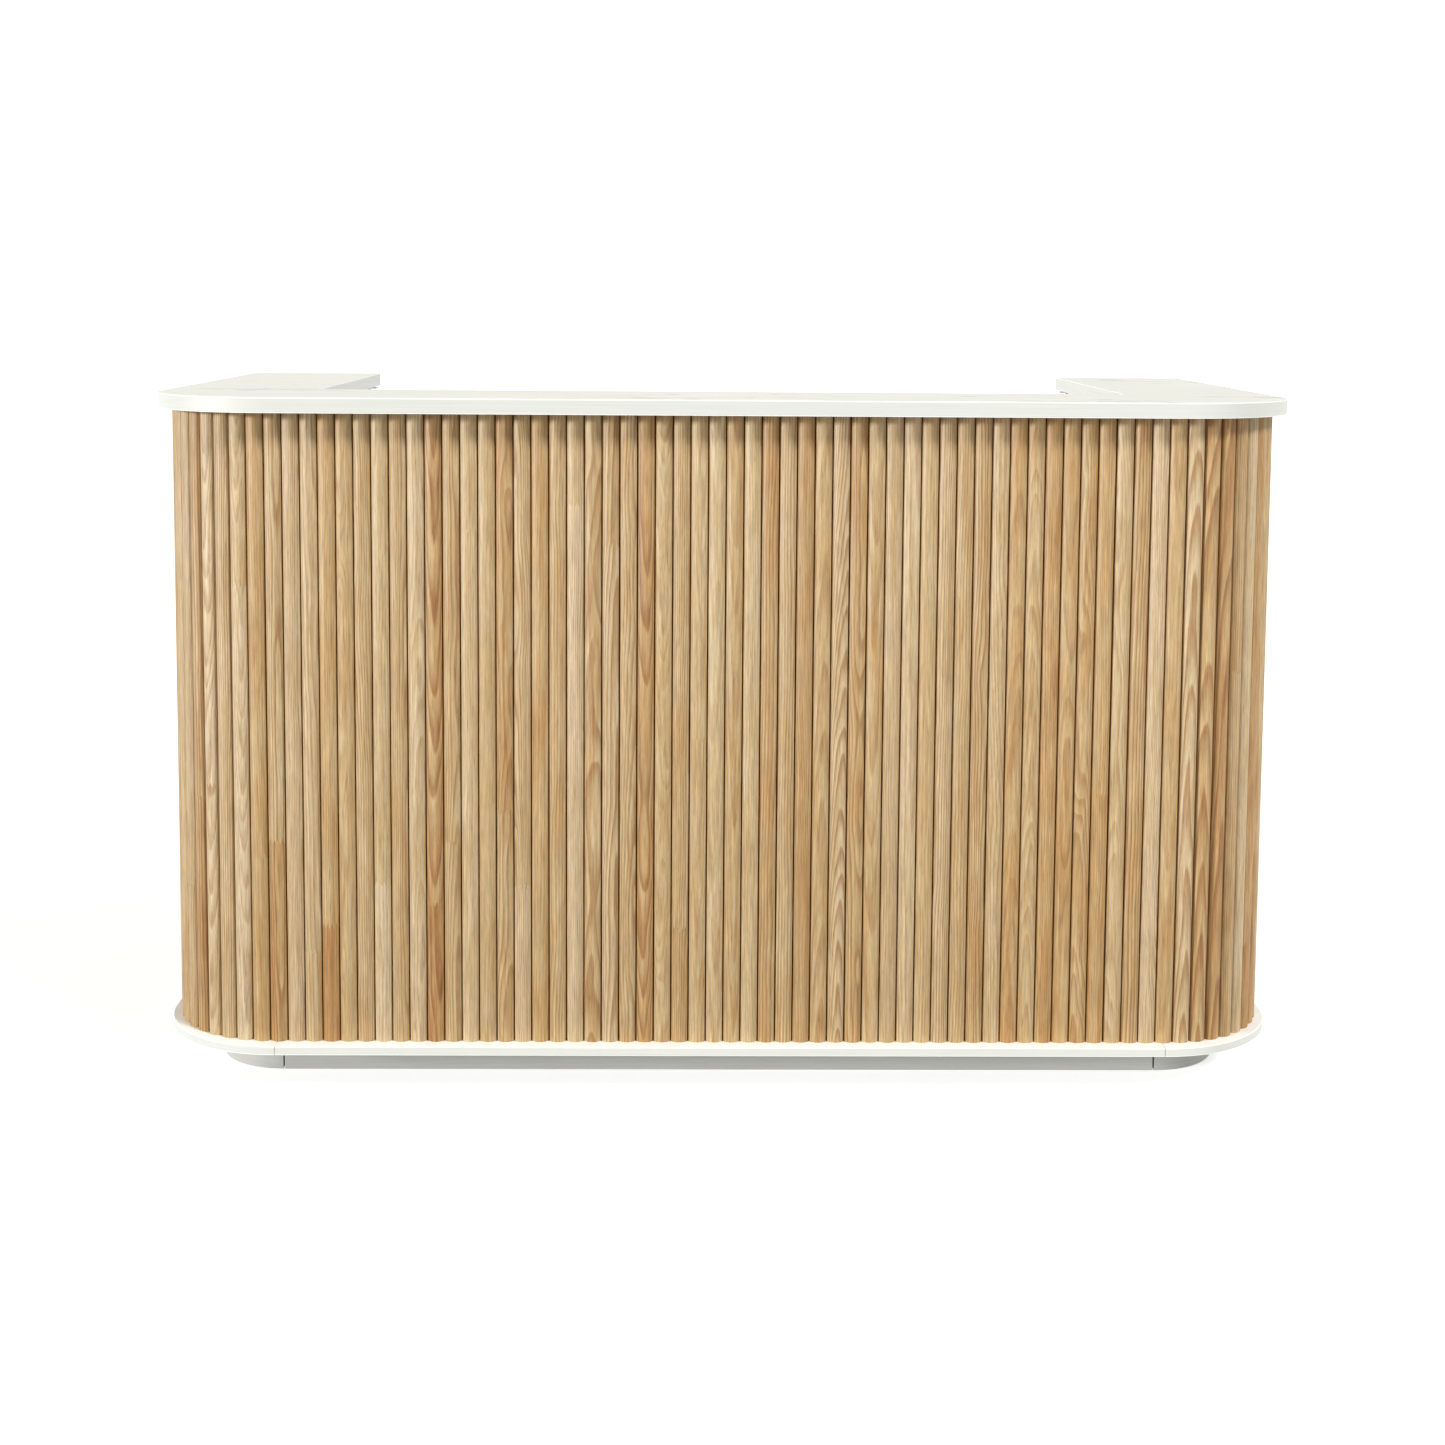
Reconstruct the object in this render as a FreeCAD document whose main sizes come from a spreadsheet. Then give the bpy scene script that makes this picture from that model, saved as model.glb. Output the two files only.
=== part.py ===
import FreeCAD, Part
import math
import os

import Sketcher
from FreeCAD import Rotation, Vector

# U-shaped checkout counter, in millimetres. X runs along the counter, the customer stands at
# -Y and the staff at +Y, and +Z is up. The origin is on the floor below the middle of the
# worktop's outline.

DIMENSIONS = {
    # whole counter
    "width": 1800,
    "depth": 960,
    "height": 1090,
    # worktop
    "top_thickness": 24,
    "top_radius": 204,
    "wing_width": 240,
    "ledge_depth": 278,
    "band_thickness": 1.5,
    # base plate and plinth
    "plate_inset": 9,
    "plate_thickness": 14,
    "plate_joint": 694,
    "plinth_height": 67,
    "plinth_inset": 122,
    "plinth_joint": 703,
    "plinth_side_inset": 71,
    "plinth_radius": 116,
    "plinth_thickness": 15,
    "plinth_end": 430,
    "rail_relief": 1.5,
    # slatted wall
    "front_overhang": 31,
    "side_overhang": 21,
    "slat_width": 25.6,
    "slat_depth": 12,
    "slat_side": 5.5,
    "slat_pitch": 27.2,
    "slat_clearance": 1,
    "slat_seam": 601,
    "seam_gap": 2.2,
    "canvas_thickness": 1,
    "wall_thickness": 15,
    "wall_radius": 164,
    "wing_back": 460,
    # carcass boards
    "board": 18,
    "thin_board": 12,
    "drawer_bottom_thickness": 6,
    "divider_face": 266,
    "desk_height": 750,
    "desk_thickness": 25,
    "desk_back": 57,
    "carcass_back": 37,
    "knee_plate_back": -330,
    "ledge_gable_back": -215,
    "ledge_shelf_height": 900,
    "ledge_shelf_setback": 10,
    "rib_depth": 160,
    "rib_middle_height": 560,
    "shelf_setback": 22,
    "gable_relief": 0.5,
    # shelf pins, module bolts and worktop brackets
    "pin_radius": 2.5,
    "pin_depth": 8,
    "pin_row_inset": 40,
    "shelf_play": 1,
    "bolt_radius": 4,
    "bolt_hole_radius": 4.2,
    "bolt_head_radius": 8,
    "bolt_head": 2,
    "bracket_leg": 40,
    "bracket_width": 24,
    "bracket_plate": 2,
    "bracket_screw": 24,
    "screw_head_radius": 4,
    "screw_head": 2,
    # fronts of the left pedestal
    "front_gap": 1.5,
    "front_top": 722,
    "drawer_front_bottom": 592,
    "door_top": 589,
    "door_bottom": 84,
    "pedestal_rail_width": 60,
    # drawer box
    "box_bottom": 600,
    "box_top": 680,
    "box_length": 400,
    # telescopic runners
    "runner_space": 13,
    "runner_height": 640,
    "runner_length": 380,
    "runner_setback": 3,
    "runner_sheet": 1.5,
    "runner_gap": 0.4,
    "runner_cabinet_half_height": 22,
    "runner_cabinet_reach": 11,
    "runner_middle_half_height": 18,
    "runner_middle_reach": 7.5,
    "runner_drawer_half_height": 13,
    "runner_drawer_reach": 6,
    # handles
    "handle_span": 128,
    "handle_bar_radius": 5,
    "handle_post_radius": 4,
    "handle_stand": 28,
    "handle_overrun": 12,
    "drawer_handle_height": 640,
    "door_handle_inset": 60,
    "door_handle_drop": 130,
    # cam lock
    "lock_height": 695,
    "lock_radius": 7.5,
    "lock_core_radius": 5,
    "lock_play": 0.05,
    "lock_behind": 6.5,
    "lock_flange": 1.5,
    "lock_flange_radius": 9.5,
    "key_slot_length": 7,
    "key_slot_width": 1.4,
    "key_slot_depth": 4,
    "cam_gap": 0.6,
    "cam_thickness": 2,
    "cam_width": 10,
    "cam_reach": 26,
    "strike_gap": 2,
    "strike_sheet": 2,
    "strike_width": 30,
    "strike_drop": 16,
    "strike_leg": 22,
    # door hinges and catch
    "hinge_inset": 60,
    "hinge_standoff": 3.4,
    "hinge_plate": 1.5,
    "hinge_plate_gap": 3.8,
    "cabinet_leaf_width": 30,
    "door_leaf_width": 18,
    "barrel_radius": 3,
    "hinge_pin_radius": 1.5,
    "hinge_play": 0.05,
    "knuckle": 12,
    "knuckle_gap": 0.3,
    "catch_width": 16,
    "catch_depth": 21,
    "catch_setback": 1,
    "catch_drop": 70,
    "catch_height": 44,
    "catch_plate": 1.2,
    "catch_plate_inset": 6,
    # cable grommet
    "grommet_place": 180,
    "grommet_depth": -150,
    "grommet_bore": 30,
    "grommet_wall": 4,
    "grommet_flange": 8,
    "grommet_lip": 2,
}

document = FreeCAD.newDocument("CheckoutCounter")
sheet = document.addObject("Spreadsheet::Sheet", "Dimensions")
for row, (alias, number) in enumerate(DIMENSIONS.items(), start=1):
    sheet.set(f"A{row}", alias)
    sheet.set(f"B{row}", str(number))
    sheet.setAlias(f"B{row}", alias)
document.recompute()


class Size:
    """A length that knows both its value and the sheet formula it comes from."""

    def __init__(self, value, formula):
        self.value = float(value)
        self.formula = formula

    @staticmethod
    def of(other):
        return other if isinstance(other, Size) else Size(other, repr(float(other)))

    def __add__(self, other):
        other = Size.of(other)
        return Size(self.value + other.value, f"({self.formula} + {other.formula})")

    def __sub__(self, other):
        other = Size.of(other)
        return Size(self.value - other.value, f"({self.formula} - {other.formula})")

    def __mul__(self, other):
        other = Size.of(other)
        return Size(self.value * other.value, f"({self.formula} * {other.formula})")

    def __truediv__(self, other):
        other = Size.of(other)
        return Size(self.value / other.value, f"({self.formula} / {other.formula})")

    def __neg__(self):
        return Size(-self.value, f"(0 - {self.formula})")

    def __radd__(self, other):
        return Size.of(other) + self

    def __rsub__(self, other):
        return Size.of(other) - self

    def __rmul__(self, other):
        return Size.of(other) * self


class Sheet:
    """The sheet's cells as Sizes: dim.width is the cell that has the alias width."""

    def __getattr__(self, alias):
        return Size(sheet.get(alias), f"Dimensions.{alias}")


dim = Sheet()
nodes = {}


def bind(item, name, size):
    """Binds a property to a Size."""
    item.setExpression(name, Size.of(size).formula)


def keep(item, label):
    """Makes an object one of the counter's sub-parts."""
    item.Label = label
    nodes[label] = item
    return item


def place(item, x, y, z):
    for axis, size in zip("xyz", (x, y, z)):
        bind(item, f"Placement.Base.{axis}", size)


# ---- building blocks ---------------------------------------------------------------------


def block(name, x_span, y_span, z_span):
    """A rectangular board between two positions on each axis."""
    box = document.addObject("Part::Box", name)
    for name_of_side, (low, high) in zip(("Length", "Width", "Height"), (x_span, y_span, z_span)):
        bind(box, name_of_side, Size.of(high) - low)
    place(box, x_span[0], y_span[0], z_span[0])
    return box


TURN = {
    "X": Rotation(Vector(0, 1, 0), 90),
    "Y": Rotation(Vector(1, 0, 0), -90),
    "Z": Rotation(),
}


def rod(name, axis, start, length, radius):
    """A cylinder from a start point along +X, +Y or +Z."""
    cylinder = document.addObject("Part::Cylinder", name)
    bind(cylinder, "Radius", radius)
    bind(cylinder, "Height", length)
    cylinder.Placement.Rotation = TURN[axis]
    place(cylinder, *start)
    return cylinder


def fused(name, pieces):
    union = document.addObject("Part::MultiFuse", name)
    union.Shapes = pieces
    return union


def group(name, pieces):
    """Several separate solids in one sub-part."""
    bundle = document.addObject("Part::Compound", name)
    bundle.Links = pieces
    return bundle


def cut(name, base, tools):
    result = document.addObject("Part::Cut", name)
    result.Base = base
    result.Tool = tools[0] if len(tools) == 1 else fused(f"{name}_tools", tools)
    return result


def draw_outline(sketch, corners):
    """Adds a closed outline of level and upright lines; a corner is (x, y) or (x, y, radius)."""
    count = len(corners)
    points = [Vector(Size.of(c[0]).value, Size.of(c[1]).value, 0) for c in corners]
    radii = [Size.of(c[2]) if len(c) == 3 else None for c in corners]
    ways = [(points[(i + 1) % count] - points[i]).normalize() for i in range(count)]
    trims = [radius.value if radius else 0 for radius in radii]
    lines = []
    for i in range(count):
        start = points[i] + ways[i] * trims[i]
        end = points[(i + 1) % count] - ways[i] * trims[(i + 1) % count]
        line = sketch.addGeometry(Part.LineSegment(start, end))
        lines.append(line)
        level = abs(ways[i].x) > abs(ways[i].y)
        sketch.addConstraint(Sketcher.Constraint("Horizontal" if level else "Vertical", line))
        kind, coordinate = ("DistanceY", corners[i][1]) if level else ("DistanceX", corners[i][0])
        hold_line(sketch, line, kind, Size.of(coordinate))
    for i in range(count):
        before, after = lines[i - 1], lines[i]
        if radii[i] is None:
            sketch.addConstraint(Sketcher.Constraint("Coincident", before, 2, after, 1))
        else:
            round_corner(sketch, before, after, points[i], ways[i - 1], ways[i], radii[i])


def hold_line(sketch, line, kind, position):
    """Fixes a line's distance from the sketch's origin, on either side of it."""
    if position.value >= 0:
        index = sketch.addConstraint(Sketcher.Constraint(kind, -1, 1, line, 1, position.value))
        formula = position.formula
    else:
        index = sketch.addConstraint(Sketcher.Constraint(kind, line, 1, -1, 1, -position.value))
        formula = (-position).formula
    sketch.setExpression(f"Constraints[{index}]", formula)


def round_corner(sketch, before, after, corner, way_in, way_out, radius):
    centre = corner + (way_out - way_in) * radius.value
    left_turn = way_in.cross(way_out).z > 0
    from_centre = -way_out if left_turn else way_in
    start_angle = math.atan2(from_centre.y, from_centre.x)
    circle = Part.Circle(centre, Vector(0, 0, 1), radius.value)
    arc = sketch.addGeometry(Part.ArcOfCircle(circle, start_angle, start_angle + math.pi / 2))
    first, second = (1, 2) if left_turn else (2, 1)
    sketch.addConstraint(Sketcher.Constraint("Tangent", before, 2, arc, first))
    sketch.addConstraint(Sketcher.Constraint("Tangent", arc, second, after, 1))
    index = sketch.addConstraint(Sketcher.Constraint("Radius", arc, radius.value))
    sketch.setExpression(f"Constraints[{index}]", radius.formula)


def origin_plane(body, role):
    return next(f for f in body.Origin.OriginFeatures if f.Role == role)


def new_sketch(body, name, role):
    sketch = body.newObject("Sketcher::SketchObject", name)
    sketch.AttachmentSupport = [(origin_plane(body, role), "")]
    sketch.MapMode = "FlatFace"
    return sketch


def sheet_part(name, outlines, z_span):
    """A board cut to an outline, with any further outlines as cut-outs, lying level."""
    body = document.addObject("PartDesign::Body", name)
    sketch = new_sketch(body, f"{name}_outline", "XY_Plane")
    for corners in outlines:
        draw_outline(sketch, corners)
    bind(sketch, "AttachmentOffset.Base.z", z_span[0])
    pad = body.newObject("PartDesign::Pad", f"{name}_pad")
    pad.Profile = sketch
    bind(pad, "Length", Size.of(z_span[1]) - z_span[0])
    return body


def mirrored(corners, side):
    """An outline on the right (side 1), or its mirror image on the left (side -1)."""
    if side > 0:
        return corners
    return [(-Size.of(c[0]), *c[1:]) for c in reversed(corners)]


def across(side, near, far):
    """The X span between two distances from the middle, on the right or the left."""
    return (Size.of(near), Size.of(far)) if side > 0 else (-Size.of(far), -Size.of(near))


SIDES = {"right": 1, "left": -1}

# ---- shared positions --------------------------------------------------------------------

half_width = dim.width / 2
front = -dim.depth / 2
back = dim.depth / 2
top_underside = dim.height - dim.top_thickness
plate_top = dim.plinth_height + dim.plate_thickness

# outer face of the canvas: the flat backs of the slats lie on it
canvas_front = front + dim.front_overhang + dim.slat_depth
canvas_side = half_width - dim.side_overhang - dim.slat_depth
wall_front = canvas_front + dim.canvas_thickness
wall_side = canvas_side - dim.canvas_thickness
inner_front = wall_front + dim.wall_thickness
inner_side = wall_side - dim.wall_thickness
canvas_radius = dim.wall_radius + dim.canvas_thickness
inner_radius = dim.wall_radius - dim.wall_thickness

wing_gable = dim.plate_joint + dim.board
pedestal_gable = dim.plate_joint - dim.board
divider_inside = dim.divider_face + dim.board
desk_underside = dim.desk_height - dim.desk_thickness

# ---- worktop -----------------------------------------------------------------------------


def top_outline(inset):
    """The worktop's U, with its outer edges moved in by an inset."""
    x = half_width - inset
    inner_x = half_width - dim.wing_width + inset
    ledge = front + dim.ledge_depth - inset
    radius = dim.top_radius - inset
    return [
        (-x, front + inset, radius),
        (x, front + inset, radius),
        (x, back - inset),
        (inner_x, back - inset),
        (inner_x, ledge),
        (-inner_x, ledge),
        (-inner_x, back - inset),
        (-x, back - inset),
    ]


top_span = (top_underside, dim.height)
keep(sheet_part("worktop", [top_outline(dim.band_thickness)], top_span), "worktop")
band_outlines = [top_outline(Size.of(0)), top_outline(dim.band_thickness)]
keep(sheet_part("worktop_edge_band", band_outlines, top_span), "worktop_edge_band")

# ---- base plate and plinth ---------------------------------------------------------------

plate_x = half_width - dim.plate_inset
plate_front = front + dim.plate_inset
plate_radius = dim.top_radius - dim.plate_inset
plate_span = (dim.plinth_height, plate_top)
front_plate = [
    (-dim.plate_joint, plate_front),
    (dim.plate_joint, plate_front),
    (dim.plate_joint, dim.carcass_back),
    (dim.divider_face, dim.carcass_back),
    (dim.divider_face, dim.knee_plate_back),
    (-dim.divider_face, dim.knee_plate_back),
    (-dim.divider_face, dim.carcass_back),
    (-dim.plate_joint, dim.carcass_back),
]
keep(sheet_part("base_plate_front", [front_plate], plate_span), "base_plate_front")

kick_front = plate_front + dim.plinth_inset
kick_side = plate_x - dim.plinth_side_inset
kick_span = (Size.of(0), dim.plinth_height)
front_kick_y = (kick_front, kick_front + dim.plinth_thickness)
front_kick_x = (-dim.plinth_joint, dim.plinth_joint)
keep(block("plinth_front", front_kick_x, front_kick_y, kick_span), "plinth_front")

rails = []
for word, side in SIDES.items():
    plate = [
        (dim.plate_joint, plate_front),
        (plate_x, plate_front, plate_radius),
        (plate_x, back - dim.plate_inset),
        (dim.plate_joint, back - dim.plate_inset),
    ]
    keep(sheet_part(f"base_plate_{word}", [mirrored(plate, side)], plate_span), f"base_plate_{word}")
    kick = [
        (dim.plinth_joint, kick_front),
        (kick_side, kick_front, dim.plinth_radius),
        (kick_side, dim.plinth_end),
        (kick_side - dim.plinth_thickness, dim.plinth_end),
        (
            kick_side - dim.plinth_thickness,
            kick_front + dim.plinth_thickness,
            dim.plinth_radius - dim.plinth_thickness,
        ),
        (dim.plinth_joint, kick_front + dim.plinth_thickness),
    ]
    keep(sheet_part(f"plinth_{word}", [mirrored(kick, side)], kick_span), f"plinth_{word}")
    rail_inside = dim.plate_joint + dim.plinth_thickness
    rails += [
        block(
            f"plinth_rail_{word}",
            across(side, dim.plate_joint, rail_inside),
            (front_kick_y[1] + dim.rail_relief, dim.plinth_end),
            kick_span,
        ),
        block(
            f"plinth_end_{word}",
            across(side, rail_inside, kick_side - dim.plinth_thickness),
            (dim.plinth_end - dim.plinth_thickness, dim.plinth_end),
            kick_span,
        ),
    ]

# rails under the two pedestals: a front-to-back rail each side and a set-back kick behind
rear_kick_back = dim.carcass_back - dim.shelf_setback
for word, side in SIDES.items():
    for place_name, near in (
        ("outer", dim.plate_joint - dim.plinth_thickness),
        ("inner", dim.divider_face),
    ):
        rails.append(
            block(
                f"pedestal_rail_{place_name}_{word}",
                across(side, near, near + dim.plinth_thickness),
                (front_kick_y[1], rear_kick_back),
                kick_span,
            )
        )
    rails.append(
        block(
            f"pedestal_kick_{word}",
            across(
                side, dim.divider_face + dim.plinth_thickness, dim.plate_joint - dim.plinth_thickness
            ),
            (rear_kick_back - dim.plinth_thickness, rear_kick_back),
            kick_span,
        )
    )
keep(group("plinth_rails", rails), "plinth_rails")

# ---- slatted wall ------------------------------------------------------------------------

wall_span = (plate_top, top_underside)
wall_end = dim.wing_back - dim.board
panel_y = (wall_front, inner_front)
keep(block("front_panel", (-dim.plate_joint, dim.plate_joint), panel_y, wall_span), "front_panel")

ribs = []
for word, side in SIDES.items():
    shell = [
        (dim.plate_joint, wall_front),
        (wall_side, wall_front, dim.wall_radius),
        (wall_side, wall_end),
        (inner_side, wall_end),
        (inner_side, inner_front, inner_radius),
        (dim.plate_joint, inner_front),
    ]
    keep(sheet_part(f"wing_shell_{word}", [mirrored(shell, side)], wall_span), f"wing_shell_{word}")
    rib = [
        (dim.plate_joint, inner_front),
        (inner_side, inner_front, inner_radius),
        (inner_side, inner_front + dim.rib_depth),
        (dim.plate_joint, inner_front + dim.rib_depth),
    ]
    rib_bottoms = {
        "low": plate_top,
        "middle": dim.rib_middle_height,
        "high": top_underside - dim.board,
    }
    for level, bottom in rib_bottoms.items():
        rib_z = (bottom, bottom + dim.board)
        blank = sheet_part(f"rib_{level}_{word}_blank", [mirrored(rib, side)], rib_z)
        notch_x = across(side, dim.plate_joint, wing_gable)
        notch_y = (inner_front, inner_front + dim.rib_depth)
        notch = block(f"rib_{level}_{word}_notch", notch_x, notch_y, rib_z)
        ribs.append(cut(f"rib_{level}_{word}", blank, [notch]))
    end_x = across(side, wing_gable, canvas_side)
    keep(
        block(f"wing_end_panel_{word}", end_x, (wall_end, dim.wing_back), wall_span),
        f"wing_end_panel_{word}",
    )

keep(group("corner_ribs", ribs), "corner_ribs")

# the canvas comes in two sheets, which meet at the seam right of the middle
right_canvas = [
    (dim.slat_seam, canvas_front),
    (canvas_side, canvas_front, canvas_radius),
    (canvas_side, wall_end),
    (wall_side, wall_end),
    (wall_side, wall_front, dim.wall_radius),
    (dim.slat_seam, wall_front),
]
left_canvas = [
    (-canvas_side, canvas_front, canvas_radius),
    (dim.slat_seam, canvas_front),
    (dim.slat_seam, wall_front),
    (-wall_side, wall_front, dim.wall_radius),
    (-wall_side, wall_end),
    (-canvas_side, wall_end),
]
keep(sheet_part("slat_canvas_right", [right_canvas], wall_span), "slat_canvas_right")
keep(sheet_part("slat_canvas_left", [left_canvas], wall_span), "slat_canvas_left")

# one slat, standing at the origin with its flat back on the XZ plane: two short straight
# sides and a bowed front
slat = document.addObject("PartDesign::Body", "slat")
section = new_sketch(slat, "slat_section", "XY_Plane")
half_slat = dim.slat_width / 2
bow_depth = dim.slat_depth - dim.slat_side
bow_radius = (half_slat * half_slat + bow_depth * bow_depth) / (2 * bow_depth)
back_left = Vector(-half_slat.value, 0, 0)
back_right = Vector(half_slat.value, 0, 0)
to_shoulder = Vector(0, -dim.slat_side.value, 0)
crown = Vector(0, -dim.slat_depth.value, 0)
flat_back = section.addGeometry(Part.LineSegment(back_left, back_right))
side_left = section.addGeometry(Part.LineSegment(back_left, back_left + to_shoulder))
side_right = section.addGeometry(Part.LineSegment(back_right, back_right + to_shoulder))
bow = section.addGeometry(Part.Arc(back_left + to_shoulder, crown, back_right + to_shoulder))
bow_start = section.Geometry[bow].StartPoint
bow_ends = (1, 2) if bow_start.isEqual(back_left + to_shoulder, 1e-6) else (2, 1)
section.addConstraint(Sketcher.Constraint("Coincident", flat_back, 1, side_left, 1))
section.addConstraint(Sketcher.Constraint("Coincident", flat_back, 2, side_right, 1))
section.addConstraint(Sketcher.Constraint("Coincident", side_left, 2, bow, bow_ends[0]))
section.addConstraint(Sketcher.Constraint("Coincident", side_right, 2, bow, bow_ends[1]))
section.addConstraint(Sketcher.Constraint("Symmetric", flat_back, 1, flat_back, 2, -1, 1))
section.addConstraint(Sketcher.Constraint("Horizontal", flat_back))
section.addConstraint(Sketcher.Constraint("Vertical", side_left))
section.addConstraint(Sketcher.Constraint("Vertical", side_right))
section.addConstraint(Sketcher.Constraint("Equal", side_left, side_right))
for rule, size in (
    (("DistanceX", flat_back, 1, flat_back, 2), dim.slat_width),
    (("DistanceY", side_left, 2, side_left, 1), dim.slat_side),
    (("Radius", bow), bow_radius),
):
    index = section.addConstraint(Sketcher.Constraint(*rule, size.value))
    section.setExpression(f"Constraints[{index}]", size.formula)
bind(section, "AttachmentOffset.Base.z", plate_top)
slat_pad = slat.newObject("PartDesign::Pad", "slat_pad")
slat_pad.Profile = section
bind(slat_pad, "Length", top_underside - dim.slat_clearance - plate_top)
document.recompute()

straight_end = canvas_side.value - canvas_radius.value
arc_length = math.pi / 2 * canvas_radius.value
side_start = canvas_front.value + canvas_radius.value
side_length = dim.wing_back.value - side_start


def wall_station(x_front):
    """Point, outward angle and part of the wall at a distance along it.

    The distance is X on the front, and runs on round either corner and back along the side.
    """
    side = 1 if x_front > 0 else -1
    word = "right" if side > 0 else "left"
    beyond = abs(x_front) - straight_end
    if beyond <= 0:
        return Vector(x_front, canvas_front.value, 0), 0, "front"
    if beyond < arc_length:
        angle = beyond / canvas_radius.value
        x = straight_end + canvas_radius.value * math.sin(angle)
        y = side_start - canvas_radius.value * math.cos(angle)
        return Vector(side * x, y, 0), side * math.degrees(angle), f"{word}_wing"
    y = side_start + beyond - arc_length
    return Vector(side * canvas_side.value, y, 0), side * 90, f"{word}_wing"


def slat_stations():
    """Middles of all the slats, counted off both ways from the seam."""
    pitch = dim.slat_pitch.value
    seam = dim.slat_seam.value
    reach = straight_end + arc_length + side_length - half_slat.value
    first = half_slat.value + dim.seam_gap.value / 2
    right = seam + first
    while right <= reach:
        yield right
        right += pitch
    left = seam - first
    while left >= -reach:
        yield left
        left -= pitch


slats = {}
for station in slat_stations():
    point, angle, region = wall_station(station)
    copy = slat.Shape.copy()
    copy.Placement = FreeCAD.Placement(point, Rotation(Vector(0, 0, 1), angle)).multiply(copy.Placement)
    slats.setdefault(region, []).append(copy)
for region, copies in slats.items():
    feature = document.addObject("Part::Feature", f"slats_{region}")
    feature.Shape = Part.makeCompound(copies)
    keep(feature, f"slats_{region}")

# ---- carcass -----------------------------------------------------------------------------

shelf_front = inner_front
shelf_back = dim.carcass_back - dim.shelf_setback
pin_rows = (shelf_front + dim.pin_row_inset, shelf_back - dim.pin_row_inset)
shelf_heights = {"left": (330,), "right": (290, 510)}
bolt_places = [(y, z) for y in (-330, -60) for z in (200, 440)]


def pin_holes(word, side, face, way):
    """Shelf-pin holes bored from a board's face, away from the middle (way 1) or towards it (-1)."""
    deep = face + way * dim.pin_depth
    near, far = (face, deep) if way > 0 else (deep, face)
    start = across(side, near, far)[0]
    spots = [(y, z) for y in pin_rows for z in shelf_heights[word]]
    return [
        rod(f"pin_hole_{word}_{index}", "X", (start, y, z), dim.pin_depth, dim.pin_radius)
        for index, (y, z) in enumerate(spots)
    ]


def bolt_holes(word, side, near, far):
    start, end = across(side, near, far)
    return [
        rod(f"bolt_hole_{word}_{index}", "X", (start, y, z), end - start, dim.bolt_hole_radius)
        for index, (y, z) in enumerate(bolt_places)
    ]


pedestal_y = (inner_front, dim.carcass_back)
pedestal_z = (plate_top, desk_underside)
ledge_gables = []
for word, side in SIDES.items():
    wing_x = across(side, dim.plate_joint, wing_gable)
    wing_y = (inner_front + dim.gable_relief, dim.wing_back)
    blank = block(f"wing_gable_{word}_blank", wing_x, wing_y, wall_span)
    holes = bolt_holes(f"wing_{word}", side, dim.plate_joint, wing_gable)
    keep(cut(f"wing_gable_{word}", blank, holes), f"wing_gable_{word}")

    outer_x = across(side, pedestal_gable, dim.plate_joint)
    blank = block(f"pedestal_gable_{word}_blank", outer_x, pedestal_y, pedestal_z)
    holes = bolt_holes(f"pedestal_{word}", side, pedestal_gable, dim.plate_joint)
    holes += pin_holes(word, side, pedestal_gable, 1)
    keep(cut(f"pedestal_gable_{word}", blank, holes), f"pedestal_gable_{word}")

    divider_x = across(side, dim.divider_face, divider_inside)
    blank = block(f"divider_{word}_blank", divider_x, pedestal_y, pedestal_z)
    holes = pin_holes(word, side, divider_inside, -1)
    keep(cut(f"divider_{word}", blank, holes), f"divider_{word}")

    gable_y = (inner_front, dim.ledge_gable_back)
    gable_z = (dim.desk_height, top_underside)
    ledge_gables.append(block(f"ledge_gable_{word}", divider_x, gable_y, gable_z))
keep(group("ledge_gables", ledge_gables), "ledge_gables")

# work shelf, bored for the cable grommet
desk_x = (-dim.plate_joint, dim.plate_joint)
desk_y = (inner_front, dim.desk_back)
desk = block("work_shelf_blank", desk_x, desk_y, (desk_underside, dim.desk_height))
grommet_outer = dim.grommet_bore + dim.grommet_wall
grommet_start = (dim.grommet_place, dim.grommet_depth, desk_underside)
desk_hole = rod("grommet_hole", "Z", grommet_start, dim.desk_thickness, grommet_outer)
keep(cut("work_shelf", desk, [desk_hole]), "work_shelf")

lip_start = (dim.grommet_place, dim.grommet_depth, dim.desk_height)
lip_radius = dim.grommet_bore + dim.grommet_flange
sleeve = rod("grommet_sleeve", "Z", grommet_start, dim.desk_thickness, grommet_outer)
lip = rod("grommet_lip_disc", "Z", lip_start, dim.grommet_lip, lip_radius)
ring = fused("grommet_ring", [sleeve, lip])
ring_height = dim.desk_thickness + dim.grommet_lip
way_through = rod("grommet_way", "Z", grommet_start, ring_height, dim.grommet_bore)
keep(cut("cable_grommet", ring, [way_through]), "cable_grommet")

ledge_x = (-dim.divider_face, dim.divider_face)
ledge_y = (inner_front, dim.ledge_gable_back - dim.ledge_shelf_setback)
ledge_z = (dim.ledge_shelf_height - dim.board, dim.ledge_shelf_height)
keep(block("ledge_shelf", ledge_x, ledge_y, ledge_z), "ledge_shelf")

# loose shelves and the pins that carry them
pins = []
pin_length = 2 * dim.pin_depth
for word, side in SIDES.items():
    shelf_x = across(side, divider_inside + dim.shelf_play, pedestal_gable - dim.shelf_play)
    shelves = []
    for height in shelf_heights[word]:
        bottom = height + dim.pin_radius
        shelf_z = (bottom, bottom + dim.board)
        shelves.append(block(f"shelf_{word}_{height}", shelf_x, (shelf_front, shelf_back), shelf_z))
        for y in pin_rows:
            for face in (divider_inside - dim.pin_depth, pedestal_gable - dim.pin_depth):
                start = (across(side, face, face + pin_length)[0], y, height)
                pins.append(rod(f"shelf_pin_{len(pins)}", "X", start, pin_length, dim.pin_radius))
    keep(group(f"shelves_{word}", shelves), f"shelves_{word}")
keep(group("shelf_pins", pins), "shelf_pins")


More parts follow.
